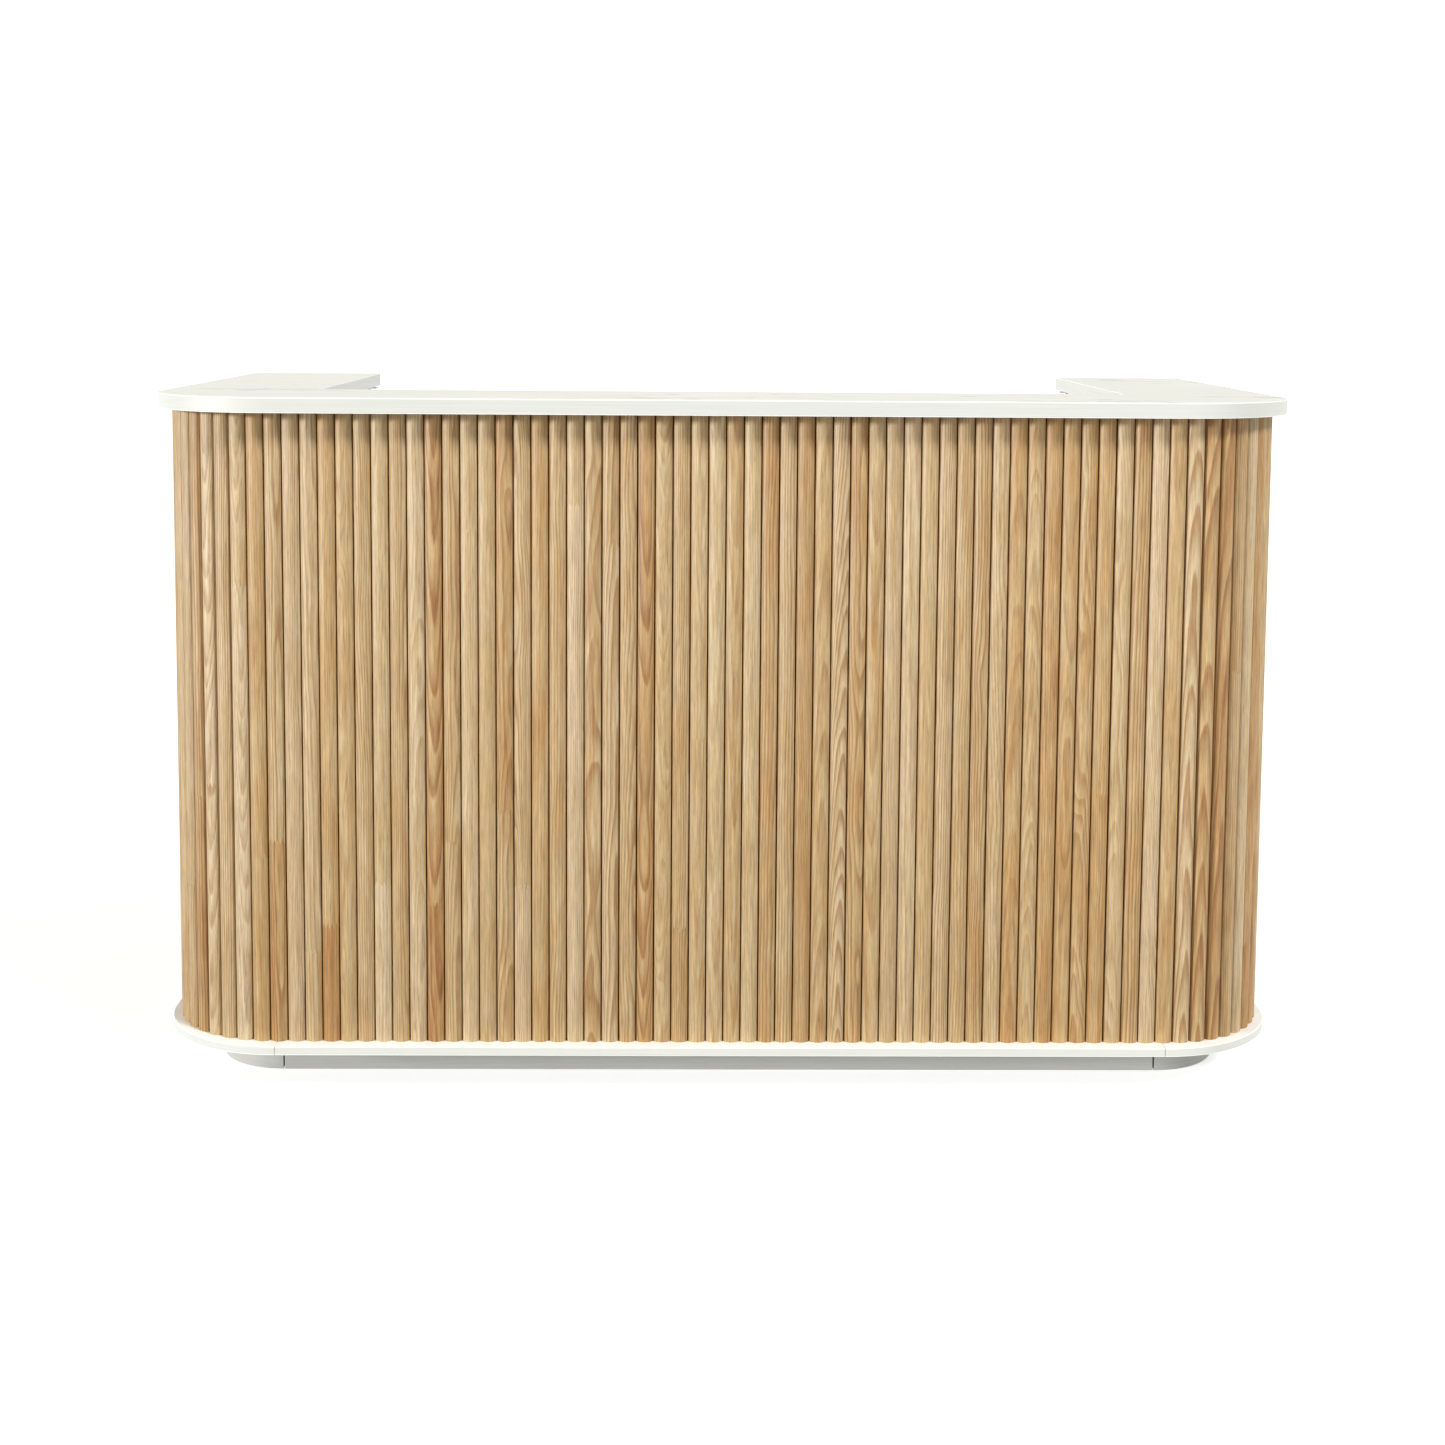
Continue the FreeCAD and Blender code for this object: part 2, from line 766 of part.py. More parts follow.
def module_bolt(name, side, y, z):
    """A bolt through both gables at a module joint, with a round head and nut."""
    inside, outside = across(side, pedestal_gable, wing_gable)
    head_start = (inside - dim.bolt_head, y, z)
    shank = rod(f"{name}_shank", "X", (inside, y, z), outside - inside, dim.bolt_radius)
    head = rod(f"{name}_head", "X", head_start, dim.bolt_head, dim.bolt_head_radius)
    nut = rod(f"{name}_nut", "X", (outside, y, z), dim.bolt_head, dim.bolt_head_radius)
    return fused(name, [shank, head, nut])


bolts = []
for side in SIDES.values():
    for y, z in bolt_places:
        bolts.append(module_bolt(f"module_bolt_{len(bolts)}", side, y, z))
keep(group("module_bolts", bolts), "module_bolts")


# angle brackets under the worktop, each with a screw head in both legs
def worktop_bracket(name, x, y, way):
    """An angle under the worktop, against the upright face at x or y that looks along way."""
    half = dim.bracket_width / 2
    leg = dim.bracket_leg
    plate = dim.bracket_plate
    upright_z = (top_underside - leg, top_underside)
    level_z = (top_underside - plate, top_underside)
    screw_z = top_underside - dim.bracket_screw
    if way == "Y":
        width = (x - half, x + half)
        upright = (width, (y, y + plate), upright_z)
        level = (width, (y, y + leg), level_z)
        wall_screw_start = (x, y + plate, screw_z)
        top_screw_place = (x, y + dim.bracket_screw)
        axis = "Y"
    else:
        width = (y - half, y + half)
        sign = 1 if way == "+X" else -1
        near = (x, x + plate) if sign > 0 else (x - plate, x)
        far = (x, x + leg) if sign > 0 else (x - leg, x)
        upright = (near, width, upright_z)
        level = (far, width, level_z)
        head_x = x + plate if sign > 0 else x - plate - dim.screw_head
        wall_screw_start = (head_x, y, screw_z)
        top_screw_place = (x + sign * dim.bracket_screw, y)
        axis = "X"
    angle = fused(name, [block(f"{name}_upright", *upright), block(f"{name}_level", *level)])
    top_screw_start = (*top_screw_place, level_z[0] - dim.screw_head)
    screws = [
        rod(f"{name}_{place_name}_screw", screw_axis, start, dim.screw_head, dim.screw_head_radius)
        for place_name, screw_axis, start in (
            ("wall", axis, wall_screw_start),
            ("top", "Z", top_screw_start),
        )
    ]
    return angle, screws


brackets, bracket_screws = [], []
bracket_places = [(dim.plate_joint, y, "-X") for y in (-100, 150, 400)]
bracket_places += [(-dim.plate_joint, y, "+X") for y in (-100, 150, 400)]
bracket_places += [(x, inner_front, "Y") for x in (-480, 0, 480)]
for index, (x, y, way) in enumerate(bracket_places):
    angle, screws = worktop_bracket(f"worktop_bracket_{index}", Size.of(x), Size.of(y), way)
    brackets.append(angle)
    bracket_screws += screws
keep(group("worktop_brackets", brackets), "worktop_brackets")
keep(group("bracket_screws", bracket_screws), "bracket_screws")

# ---- till drawer in the left pedestal ----------------------------------------------------

front_y = (dim.carcass_back + dim.front_gap, dim.carcass_back + dim.front_gap + dim.board)
fronts_x = (-(dim.plate_joint - dim.front_gap), -dim.divider_face)
bay_x = (-pedestal_gable, -divider_inside)
bay_middle = (bay_x[0] + bay_x[1]) / 2
lock_back = front_y[0] - dim.lock_behind
lock_start = (bay_middle, lock_back, dim.lock_height)
lock_length = front_y[1] - lock_back

drawer_front_z = (dim.drawer_front_bottom, dim.front_top)
drawer_front = block("drawer_front_blank", fronts_x, front_y, drawer_front_z)
lock_hole = rod("lock_hole", "Y", lock_start, lock_length, dim.lock_radius)
keep(cut("drawer_front", drawer_front, [lock_hole]), "drawer_front")

box_x = (bay_x[0] + dim.runner_space, bay_x[1] - dim.runner_space)
box_y = (front_y[0] - dim.box_length, front_y[0])
sides_z = (dim.box_bottom + dim.drawer_bottom_thickness, dim.box_top)
inner_x = (box_x[0] + dim.thin_board, box_x[1] - dim.thin_board)
box_back_y = (box_y[0], box_y[0] + dim.thin_board)
box_front_y = (box_y[1] - dim.thin_board, box_y[1])
for name, x_span, y_span, z_span in (
    ("drawer_bottom", box_x, box_y, (dim.box_bottom, sides_z[0])),
    ("drawer_side_left", (box_x[0], inner_x[0]), box_y, sides_z),
    ("drawer_side_right", (inner_x[1], box_x[1]), box_y, sides_z),
    ("drawer_back", inner_x, box_back_y, sides_z),
    ("drawer_box_front", inner_x, box_front_y, sides_z),
):
    keep(block(name, x_span, y_span, z_span), name)

# Each telescopic runner has three members. The cabinet member is screwed to the pedestal, the
# drawer member to the drawer side, and the middle member slides half as far as the drawer.
runner_end = front_y[0] - dim.runner_setback
runner_y = (runner_end - dim.runner_length, runner_end)


def channel(name, base_x, way, member):
    """A C-shaped runner member whose web stands at base_x and whose lips point along way."""
    half_height = getattr(dim, f"{member}_half_height")
    end_x = base_x + way * getattr(dim, f"{member}_reach")
    web_end = base_x + way * dim.runner_sheet
    bottom = dim.runner_height - half_height
    top = dim.runner_height + half_height

    def span(first, second):
        return (first, second) if way > 0 else (second, first)

    web = block(f"{name}_web", span(base_x, web_end), runner_y, (bottom, top))
    lips = [
        block(f"{name}_lip_{index}", span(base_x, end_x), runner_y, (low, low + dim.runner_sheet))
        for index, low in enumerate((bottom, top - dim.runner_sheet))
    ]
    return fused(name, [web, *lips])


cabinet_members, drawer_members = [], []
for word, wall_x, way in (("left", bay_x[0], 1), ("right", bay_x[1], -1)):
    cabinet_members.append(channel(f"runner_cabinet_{word}", wall_x, way, "runner_cabinet"))
    middle_base = wall_x + way * (dim.runner_sheet + dim.runner_gap)
    middle = channel(f"runner_middle_{word}", middle_base, way, "runner_middle")
    keep(middle, f"runner_middle_{word}")
    box_face = wall_x + way * dim.runner_space
    drawer_members.append(channel(f"runner_drawer_{word}", box_face, -way, "runner_drawer"))
keep(group("runners_cabinet", cabinet_members), "runners_cabinet")
keep(group("runners_drawer", drawer_members), "runners_drawer")


def bow_handle(name, centre_x, centre_z, upright):
    """A round bar on two posts that stands off the front, level or upright."""
    face = front_y[1]
    half = dim.handle_span / 2
    if upright:
        ends = [(centre_x, centre_z - half), (centre_x, centre_z + half)]
        bar_start = (centre_x, face + dim.handle_stand, centre_z - half - dim.handle_overrun)
    else:
        ends = [(centre_x - half, centre_z), (centre_x + half, centre_z)]
        bar_start = (centre_x - half - dim.handle_overrun, face + dim.handle_stand, centre_z)
    posts = [
        rod(f"{name}_post_{index}", "Y", (x, face, z), dim.handle_stand, dim.handle_post_radius)
        for index, (x, z) in enumerate(ends)
    ]
    length = dim.handle_span + 2 * dim.handle_overrun
    bar = rod(f"{name}_bar", "Z" if upright else "X", bar_start, length, dim.handle_bar_radius)
    return fused(name, [*posts, bar])


drawer_handle = bow_handle("drawer_handle", bay_middle, dim.drawer_handle_height, False)
keep(drawer_handle, "drawer_handle")

# cam lock: a fixed body, and a core that turns in it and carries the cam
face = front_y[1]
barrel = rod("lock_barrel", "Y", lock_start, lock_length, dim.lock_radius)
flange_start = (bay_middle, face, dim.lock_height)
flange = rod("lock_flange_disc", "Y", flange_start, dim.lock_flange, dim.lock_flange_radius)
bore_radius = dim.lock_core_radius + dim.lock_play
core_bore = rod("lock_core_bore", "Y", lock_start, lock_length + dim.lock_flange, bore_radius)
lock_shell = fused("lock_shell", [barrel, flange])
keep(cut("drawer_lock_body", lock_shell, [core_bore]), "drawer_lock_body")

cam_front = lock_back - dim.cam_gap
cam_y = (cam_front - dim.cam_thickness, cam_front)
face_end = face + dim.lock_flange
core_start = (bay_middle, cam_front, dim.lock_height)
core = rod("lock_core_bar", "Y", core_start, face_end - cam_front, dim.lock_core_radius)
slot_x = (bay_middle - dim.key_slot_length / 2, bay_middle + dim.key_slot_length / 2)
slot_y = (face_end - dim.key_slot_depth, face_end)
slot_z = (dim.lock_height - dim.key_slot_width / 2, dim.lock_height + dim.key_slot_width / 2)
keep(cut("drawer_lock_core", core, [block("key_slot", slot_x, slot_y, slot_z)]), "drawer_lock_core")

cam_x = (bay_middle - dim.cam_width / 2, bay_middle + dim.cam_reach)
cam_z = (dim.lock_height - dim.cam_width / 2, dim.lock_height + dim.cam_width / 2)
keep(block("drawer_lock_cam", cam_x, cam_y, cam_z), "drawer_lock_cam")

strike_front = cam_front + dim.strike_gap
strike_y = (strike_front, strike_front + dim.strike_sheet)
strike_x = (bay_middle - dim.strike_width / 2, bay_middle + dim.strike_width / 2)
upright_z = (desk_underside - dim.strike_drop, desk_underside)
level_y = (strike_front - dim.strike_leg, strike_y[1])
level_z = (desk_underside - dim.strike_sheet, desk_underside)
strike_upright = block("strike_upright", strike_x, strike_y, upright_z)
strike_level = block("strike_level", strike_x, level_y, level_z)
strike = fused("drawer_lock_strike_angle", [strike_upright, strike_level])
keep(strike, "drawer_lock_strike")

# ---- cupboard door below the drawer ------------------------------------------------------

door_z = (dim.door_bottom, dim.door_top)
keep(block("cupboard_door", fronts_x, front_y, door_z), "cupboard_door")
door_handle_x = fronts_x[0] + dim.door_handle_inset
door_handle_z = dim.door_top - dim.door_handle_drop
keep(bow_handle("door_handle", door_handle_x, door_handle_z, True), "door_handle")

# butt hinges on the divider's knee-space face and the door's edge, which lie in one plane
knuckles = 5
hinge_length = knuckles * dim.knuckle
hinge_x = -dim.divider_face + dim.hinge_standoff
hinge_y = dim.carcass_back + dim.front_gap / 2
hinge_plate_x = (-dim.divider_face, -dim.divider_face + dim.hinge_plate)
hinge_bottoms = (dim.door_bottom + dim.hinge_inset, dim.door_top - dim.hinge_inset - hinge_length)


def hinge_leaf(name, bottom, way, leaf_width, owned, bore_radius):
    """A leaf that reaches along way from the pin, with its own share of the knuckles."""

    def span(first, second):
        return (first, second) if way > 0 else (second, first)

    inner_edge = hinge_y + way * dim.hinge_plate_gap
    leaf_y = span(inner_edge, hinge_y + way * leaf_width)
    bridge_y = span(hinge_y, inner_edge)
    pieces = [block(f"{name}_plate", hinge_plate_x, leaf_y, (bottom, bottom + hinge_length))]
    for index in owned:
        low = bottom + index * dim.knuckle + dim.knuckle_gap / 2
        length = dim.knuckle - dim.knuckle_gap
        start = (hinge_x, hinge_y, low)
        pieces.append(block(f"{name}_bridge_{index}", hinge_plate_x, bridge_y, (low, low + length)))
        pieces.append(rod(f"{name}_knuckle_{index}", "Z", start, length, dim.barrel_radius))
    bore = rod(f"{name}_bore", "Z", (hinge_x, hinge_y, bottom), hinge_length, bore_radius)
    return cut(name, fused(f"{name}_blank", pieces), [bore])


cabinet_leaves, door_leaves, hinge_pins = [], [], []
loose_bore = dim.hinge_pin_radius + dim.hinge_play
for index, bottom in enumerate(hinge_bottoms):
    fixed = (f"cabinet_leaf_{index}", bottom, -1, dim.cabinet_leaf_width, (0, 2, 4))
    moving = (f"door_leaf_{index}", bottom, 1, dim.door_leaf_width, (1, 3))
    cabinet_leaves.append(hinge_leaf(*fixed, dim.hinge_pin_radius))
    door_leaves.append(hinge_leaf(*moving, loose_bore))
    pin_start = (hinge_x, hinge_y, bottom)
    hinge_pins.append(rod(f"hinge_pin_{index}", "Z", pin_start, hinge_length, dim.hinge_pin_radius))
keep(group("hinge_leaves_cabinet", cabinet_leaves), "hinge_leaves_cabinet")
keep(group("hinge_leaves_door", door_leaves), "hinge_leaves_door")
keep(group("hinge_pins", hinge_pins), "hinge_pins")

# magnetic catch inside the pedestal, and the plate on the door that it holds
catch_x = (bay_x[0], bay_x[0] + dim.catch_width)
catch_front = dim.carcass_back - dim.catch_setback
catch_y = (catch_front - dim.catch_depth, catch_front)
catch_bottom = dim.door_top - dim.catch_drop
catch_z = (catch_bottom, catch_bottom + dim.catch_height)
keep(block("catch_magnet", catch_x, catch_y, catch_z), "catch_magnet")
catch_plate_y = (front_y[0] - dim.catch_plate, front_y[0])
catch_plate_z = (catch_z[0] + dim.catch_plate_inset, catch_z[1] - dim.catch_plate_inset)
keep(block("catch_plate", catch_x, catch_plate_y, catch_plate_z), "catch_plate")

# a rail between the drawer and the door, flush with the pedestal's edges
rail_y = (dim.carcass_back - dim.pedestal_rail_width, dim.carcass_back)
rail_z = (dim.door_top - dim.board, dim.door_top)
keep(block("pedestal_rail", bay_x, rail_y, rail_z), "pedestal_rail")

# ---- check and write ---------------------------------------------------------------------

document.recompute()
for item in document.Objects:
    if "Invalid" in item.State or "Error" in item.State:
        raise RuntimeError(f"{item.Label} did not compute: {item.State}")
for label, item in nodes.items():
    if item.Shape.isNull() or not item.Shape.isValid():
        raise RuntimeError(f"{label} has no valid shape")
    if not item.Shape.Solids:
        raise RuntimeError(f"{label} has no solid")

os.makedirs("parts", exist_ok=True)
for label, item in nodes.items():
    item.Shape.exportStep(f"parts/{label}.step")
    print(label, len(item.Shape.Solids), round(item.Shape.Volume / 1000, 1))
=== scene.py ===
import math
import random

import bmesh
import bpy
from mathutils import Matrix, Vector


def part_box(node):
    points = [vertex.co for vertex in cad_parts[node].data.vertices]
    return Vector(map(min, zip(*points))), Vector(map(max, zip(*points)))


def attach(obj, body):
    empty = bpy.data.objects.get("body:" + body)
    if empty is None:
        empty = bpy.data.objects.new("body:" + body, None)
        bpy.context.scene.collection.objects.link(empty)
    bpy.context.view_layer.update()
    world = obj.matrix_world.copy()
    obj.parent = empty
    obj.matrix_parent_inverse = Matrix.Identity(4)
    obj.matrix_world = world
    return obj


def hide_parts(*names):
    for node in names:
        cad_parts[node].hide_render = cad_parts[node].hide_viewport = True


# The visual model of the slatted checkout counter. Blender works in metres; lengths given in
# millimetres go through MM. Positions come from the CAD nodes' boxes.

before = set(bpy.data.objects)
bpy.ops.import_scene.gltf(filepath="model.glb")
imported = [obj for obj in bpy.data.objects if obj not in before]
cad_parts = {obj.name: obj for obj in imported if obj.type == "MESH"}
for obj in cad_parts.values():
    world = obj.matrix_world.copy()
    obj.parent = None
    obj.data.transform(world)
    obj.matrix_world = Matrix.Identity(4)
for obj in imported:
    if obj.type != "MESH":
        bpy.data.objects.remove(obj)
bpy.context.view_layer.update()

MM = 0.001

# A slat's section, in millimetres: its half width, its depth at the middle and at the sides,
# and how far its shoulders are eased.
SLAT_HALF = 12.8
SLAT_DEPTH = 12.0
SLAT_SIDE = 5.5
SHOULDER_EASE = 1.0


def corners_of(node):
    """Lowest and highest corner of a CAD node, as vectors in metres."""
    low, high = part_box(node)
    return Vector(low), Vector(high)


# ---- node trees --------------------------------------------------------------------------


class Paint:
    """A material being built: each method adds a node and returns its output socket."""

    def __init__(self, name):
        self.material = bpy.data.materials.new(name)
        self.material.use_nodes = True
        self.tree = self.material.node_tree
        self.tree.nodes.clear()

    def add(self, kind, inputs=(), **settings):
        node = self.tree.nodes.new(kind)
        for key, value in settings.items():
            setattr(node, key, value)
        for key, value in dict(inputs).items():
            self.feed(node.inputs[key], value)
        return node

    def feed(self, socket, value):
        if isinstance(value, bpy.types.NodeSocket):
            self.tree.links.new(value, socket)
        else:
            socket.default_value = value

    def place(self):
        """Position in the shared frame, in metres."""
        return self.add("ShaderNodeTexCoord").outputs["Object"]

    def attribute(self, name):
        return self.add("ShaderNodeAttribute", attribute_name=name).outputs["Vector"]

    def parts(self, vector):
        node = self.add("ShaderNodeSeparateXYZ", {0: vector})
        return node.outputs[0], node.outputs[1], node.outputs[2]

    def math(self, operation, *values, clamp=False):
        inputs = dict(enumerate(values))
        return self.add("ShaderNodeMath", inputs, operation=operation, use_clamp=clamp).outputs[0]

    def vector_math(self, operation, *values, out="Vector"):
        inputs = dict(enumerate(values))
        return self.add("ShaderNodeVectorMath", inputs, operation=operation).outputs[out]

    def scaled(self, vector, factors):
        """A vector with each part multiplied by its own factor."""
        return self.vector_math("MULTIPLY", vector, factors)

    def times(self, vector, factor):
        """A vector or colour multiplied by one number, which may come from a node."""
        inputs = {0: vector, "Scale": factor}
        return self.add("ShaderNodeVectorMath", inputs, operation="SCALE").outputs[0]

    def noise(self, vector, detail=2.0, roughness=0.5, out="Fac"):
        inputs = {"Vector": vector, "Scale": 1.0, "Detail": detail, "Roughness": roughness}
        return self.add("ShaderNodeTexNoise", inputs).outputs[out]

    def span(self, value, low, high, to_low=0.0, to_high=1.0, smooth=True):
        """Maps low..high to to_low..to_high, held level beyond both ends."""
        inputs = {0: value, 1: low, 2: high, 3: to_low, 4: to_high}
        kind = "SMOOTHSTEP" if smooth else "LINEAR"
        return self.add("ShaderNodeMapRange", inputs, interpolation_type=kind).outputs[0]

    def blend(self, factor, first, second, kind="MIX"):
        """Two colours mixed; each is a node's output or a colour from rgb()."""
        inputs = {0: factor, 6: opaque(first), 7: opaque(second)}
        return self.add("ShaderNodeMix", inputs, data_type="RGBA", blend_type=kind).outputs[2]

    def ramp(self, factor, stops):
        """Colours along a factor from 0 to 1; each stop is (position, colour)."""
        node = self.add("ShaderNodeValToRGB", {0: factor})
        elements = node.color_ramp.elements
        while len(elements) < len(stops):
            elements.new(0.5)
        for element, (position, colour) in zip(elements, stops):
            element.position = position
            element.color = opaque(colour)
        return node.outputs[0]

    def bump(self, height, distance):
        inputs = {"Height": height, "Distance": distance, "Strength": 1.0}
        return self.add("ShaderNodeBump", inputs).outputs[0]

    def finish(self, colour, roughness, normal=None, **others):
        """Ends the tree with one shader. Others are its further inputs, with _ for spaces."""
        inputs = {"Base Color": colour, "Roughness": roughness}
        if normal:
            inputs["Normal"] = normal
        inputs.update({key.replace("_", " "): value for key, value in others.items()})
        shader = self.add("ShaderNodeBsdfPrincipled", inputs)
        output = self.add("ShaderNodeOutputMaterial")
        self.tree.links.new(shader.outputs[0], output.inputs["Surface"])
        return self.material


def rgb(red, green, blue):
    """Linear colour from 0-255 display values."""
    return tuple(((c / 255 + 0.055) / 1.055) ** 2.4 for c in (red, green, blue))


def opaque(colour):
    """A colour with full alpha; a node's output is left as it is."""
    return (*colour, 1.0) if isinstance(colour, tuple) else colour


def grey(level):
    """Linear grey."""
    return (level, level, level)


# ---- materials ---------------------------------------------------------------------------

# Growth rings and finger joints, in millimetres. OTHER_LOG is how far off in the log the length
# below a finger joint was cut.
RING_SPACING = 3.6
FINGER_WIDTH = 3.1
FINGER_LENGTH = 9.0
OTHER_LOG = (23.0, 14.0, 700.0)

EARLY_WOOD = [
    (0.0, grey(0.9)),
    (0.12, grey(1.0)),
    (0.5, grey(0.25)),
    (0.9, grey(0.0)),
    (1.0, grey(1.0)),
]
OAK_TONES = [
    (0.0, rgb(195, 175, 142)),
    (0.35, rgb(183, 160, 118)),
    (0.7, rgb(173, 139, 89)),
    (1.0, rgb(157, 113, 61)),
]


def below_finger_joint(paint, across, height, joint_height):
    """One below the zigzag of a slat's finger joint, and nought above it."""
    finger = paint.math("PINGPONG", paint.math("MULTIPLY", across, SLAT_HALF), FINGER_WIDTH)
    finger = paint.math("MULTIPLY", finger, FINGER_LENGTH / FINGER_WIDTH)
    boundary = paint.math("SUBTRACT", paint.math("ADD", joint_height, finger), height)
    return paint.math("MULTIPLY", boundary, 2.0, clamp=True)


def growth_rings(paint, log, seed, spacing):
    """Rings round the log's pith, bent by slow noise: one in porous early wood, nought in late."""
    warp = paint.noise(paint.scaled(log, (0.022, 0.022, 0.0042)), detail=1.5, out="Color")
    warp = paint.scaled(paint.vector_math("SUBTRACT", warp, (0.5, 0.5, 0.5)), (1.0, 1.0, 0.0))
    wavy = paint.vector_math("ADD", log, paint.times(warp, paint.span(seed, 0.3, 1.0, 9.0, 30.0)))
    radius = paint.vector_math("LENGTH", paint.scaled(wavy, (1.0, 1.0, 0.0)), out="Value")
    ring = paint.math("DIVIDE", radius, paint.math("MULTIPLY", spacing, RING_SPACING))
    return paint.ramp(paint.math("FRACT", ring), EARLY_WOOD)


def oak_tone(paint, log, tone):
    """The wood's colour between the rings, with slow clouds and long streaks in its tone."""
    cloud = paint.noise(paint.scaled(log, (0.05, 0.05, 0.008)), detail=2.5, roughness=0.6)
    streak = paint.noise(paint.scaled(log, (0.28, 0.28, 0.0035)), detail=1.5)
    tone = paint.math("ADD", tone, paint.span(cloud, 0.25, 0.75, -0.22, 0.22, smooth=False))
    tone = paint.math("ADD", tone, paint.span(streak, 0.25, 0.75, -0.2, 0.2, smooth=False))
    return paint.ramp(tone, OAK_TONES)


def dark_flecks(paint, log, colour):
    """Adds a few small dark flecks, stretched along the grain."""
    cells = {"Vector": paint.scaled(log, (0.07, 0.07, 0.013)), "Scale": 1.0}
    spot = paint.add("ShaderNodeTexVoronoi", cells)
    rare = paint.math("GREATER_THAN", paint.parts(spot.outputs["Color"])[0], 0.86)
    near = paint.span(spot.outputs["Distance"], 0.05, 0.16, 1.0, 0.0)
    fleck = paint.math("MULTIPLY", rare, near)
    return paint.blend(paint.math("MULTIPLY", fleck, 0.5), colour, rgb(150, 104, 62))


def oak_slat():
    """Lacquered oak cut from the log: growth rings, pores, streaks and finger-jointed lengths.

    It reads four attributes of the slats' points. "log" is the place in the log the slat was cut
    from, "lath" is (across, height, chance), "tint" is (tone, ring contrast, ring spacing) and
    "splice" is (height of the finger joint, change of tone below it, unused).
    """
    paint = Paint("oak_slat")
    across, height, seed = paint.parts(paint.attribute("lath"))
    tone, contrast, spacing = paint.parts(paint.attribute("tint"))
    splice_height, splice_tone, _ = paint.parts(paint.attribute("splice"))

    below = below_finger_joint(paint, across, height, splice_height)
    log = paint.vector_math("ADD", paint.attribute("log"), paint.times(OTHER_LOG, below))
    early = growth_rings(paint, log, seed, spacing)
    tone = paint.math("ADD", tone, paint.math("MULTIPLY", below, splice_tone))
    colour = oak_tone(paint, log, tone)
    grain = paint.math("MULTIPLY", early, contrast)
    colour = paint.blend(grain, colour, rgb(196, 158, 112), "MULTIPLY")

    pores = paint.span(paint.noise(paint.scaled(log, (0.85, 0.85, 0.035)), detail=1.0), 0.56, 0.72)
    pores = paint.math("MULTIPLY", pores, paint.span(early, 0.0, 1.0, 0.35, 1.0))
    colour = paint.blend(paint.math("MULTIPLY", pores, 0.42), colour, rgb(178, 138, 92), "MULTIPLY")

    fibre = paint.noise(paint.scaled(log, (0.55, 0.55, 0.012)), detail=3.0, roughness=0.8)
    dash = paint.noise(paint.scaled(log, (0.36, 0.36, 0.02)), detail=3.0, roughness=0.7)
    lift = paint.span(fibre, 0.25, 0.75, 0.82, 1.18, smooth=False)
    lift = paint.math("MULTIPLY", lift, paint.span(dash, 0.3, 0.7, 0.78, 1.22, smooth=False))
    colour = dark_flecks(paint, log, paint.times(colour, lift))

    relief = paint.math("ADD", pores, paint.math("MULTIPLY", early, 0.35))
    relief = paint.math("SUBTRACT", fibre, relief)
    roughness = paint.span(fibre, 0.2, 0.8, 0.44, 0.56, smooth=False)
    return paint.finish(colour, roughness, paint.bump(relief, 0.12 * MM), Specular_IOR_Level=0.5)


def stone_laminate():
    """Pale marble-look laminate with faint slanting veins."""
    paint = Paint("stone_laminate")
    place = paint.place()
    cloud = paint.noise(paint.scaled(place, (4.0, 6.0, 4.0)), detail=4.0, roughness=0.6)
    slant = {"Vector": place, "Rotation": (0, 0, math.radians(32)), "Scale": (2.2, 7.5, 1)}
    slanted = paint.add("ShaderNodeMapping", slant).outputs[0]
    twist = paint.noise(paint.scaled(place, (6.0, 6.0, 6.0)), detail=3.0, out="Color")
    twisted = paint.vector_math("ADD", slanted, paint.scaled(twist, (0.9, 0.9, 0.0)))
    crack = paint.noise(twisted, detail=3.0, roughness=0.45)
    off_vein = paint.math("ABSOLUTE", paint.math("SUBTRACT", crack, 0.5))
    vein = paint.span(off_vein, 0.0, 0.022, 1.0, 0.0)
    fade = paint.span(cloud, 0.42, 0.62)
    grain = paint.noise(paint.scaled(place, (900.0, 900.0, 900.0)), detail=1.0)
    colour = paint.ramp(cloud, [(0.3, rgb(234, 234, 222)), (0.7, rgb(240, 240, 229))])
    colour = paint.blend(paint.math("MULTIPLY", vein, fade), colour, rgb(203, 199, 190))
    colour = paint.blend(paint.span(grain, 0.62, 0.75, 0.0, 0.25), colour, rgb(200, 198, 190))
    roughness = paint.span(cloud, 0.3, 0.7, 0.34, 0.44)
    return paint.finish(colour, roughness, paint.bump(grain, 0.02 * MM), Specular_IOR_Level=0.4)


def banded_edge(name, base, streak, arris_highlight, bottom, top, arris_width, roughness):
    """An edge with fine level streaks and a painted highlight: a paler, mottled colour on the arrises
    and over the flat faces at its top and bottom.
    """
    paint = Paint(name)
    place = paint.place()
    height = paint.parts(place)[2]
    streaks = paint.noise(paint.scaled(place, (7.0, 7.0, 700.0)), detail=3.0, roughness=0.6)
    cloud = paint.noise(paint.scaled(place, (3.0, 3.0, 3.0)), detail=2.0)
    colour = paint.blend(paint.span(streaks, 0.35, 0.7), base, streak)
    colour = paint.blend(paint.span(cloud, 0.3, 0.7, 0.0, 0.3), colour, streak)
    # Painted highlight: a paler colour near the top and bottom, over the arrises and the flat top and
    # bottom faces, mottled by noise.
    above_bottom = paint.math("SUBTRACT", height, bottom)
    below_top = paint.math("SUBTRACT", top, height)
    near = paint.math("MINIMUM", above_bottom, below_top)
    highlight_mottle = paint.noise(paint.scaled(place, (40.0, 40.0, 40.0)), detail=2.0)
    edge = paint.span(near, arris_width * 0.55, arris_width, 1.0, 0.0)
    edge = paint.math("MULTIPLY", edge, paint.span(highlight_mottle, 0.3, 0.6, 0.88, 1.0))
    colour = paint.blend(edge, colour, arris_highlight)
    rough = paint.span(streaks, 0.2, 0.8, roughness - 0.05, roughness + 0.06)
    return paint.finish(colour, rough, paint.bump(streaks, 0.03 * MM))


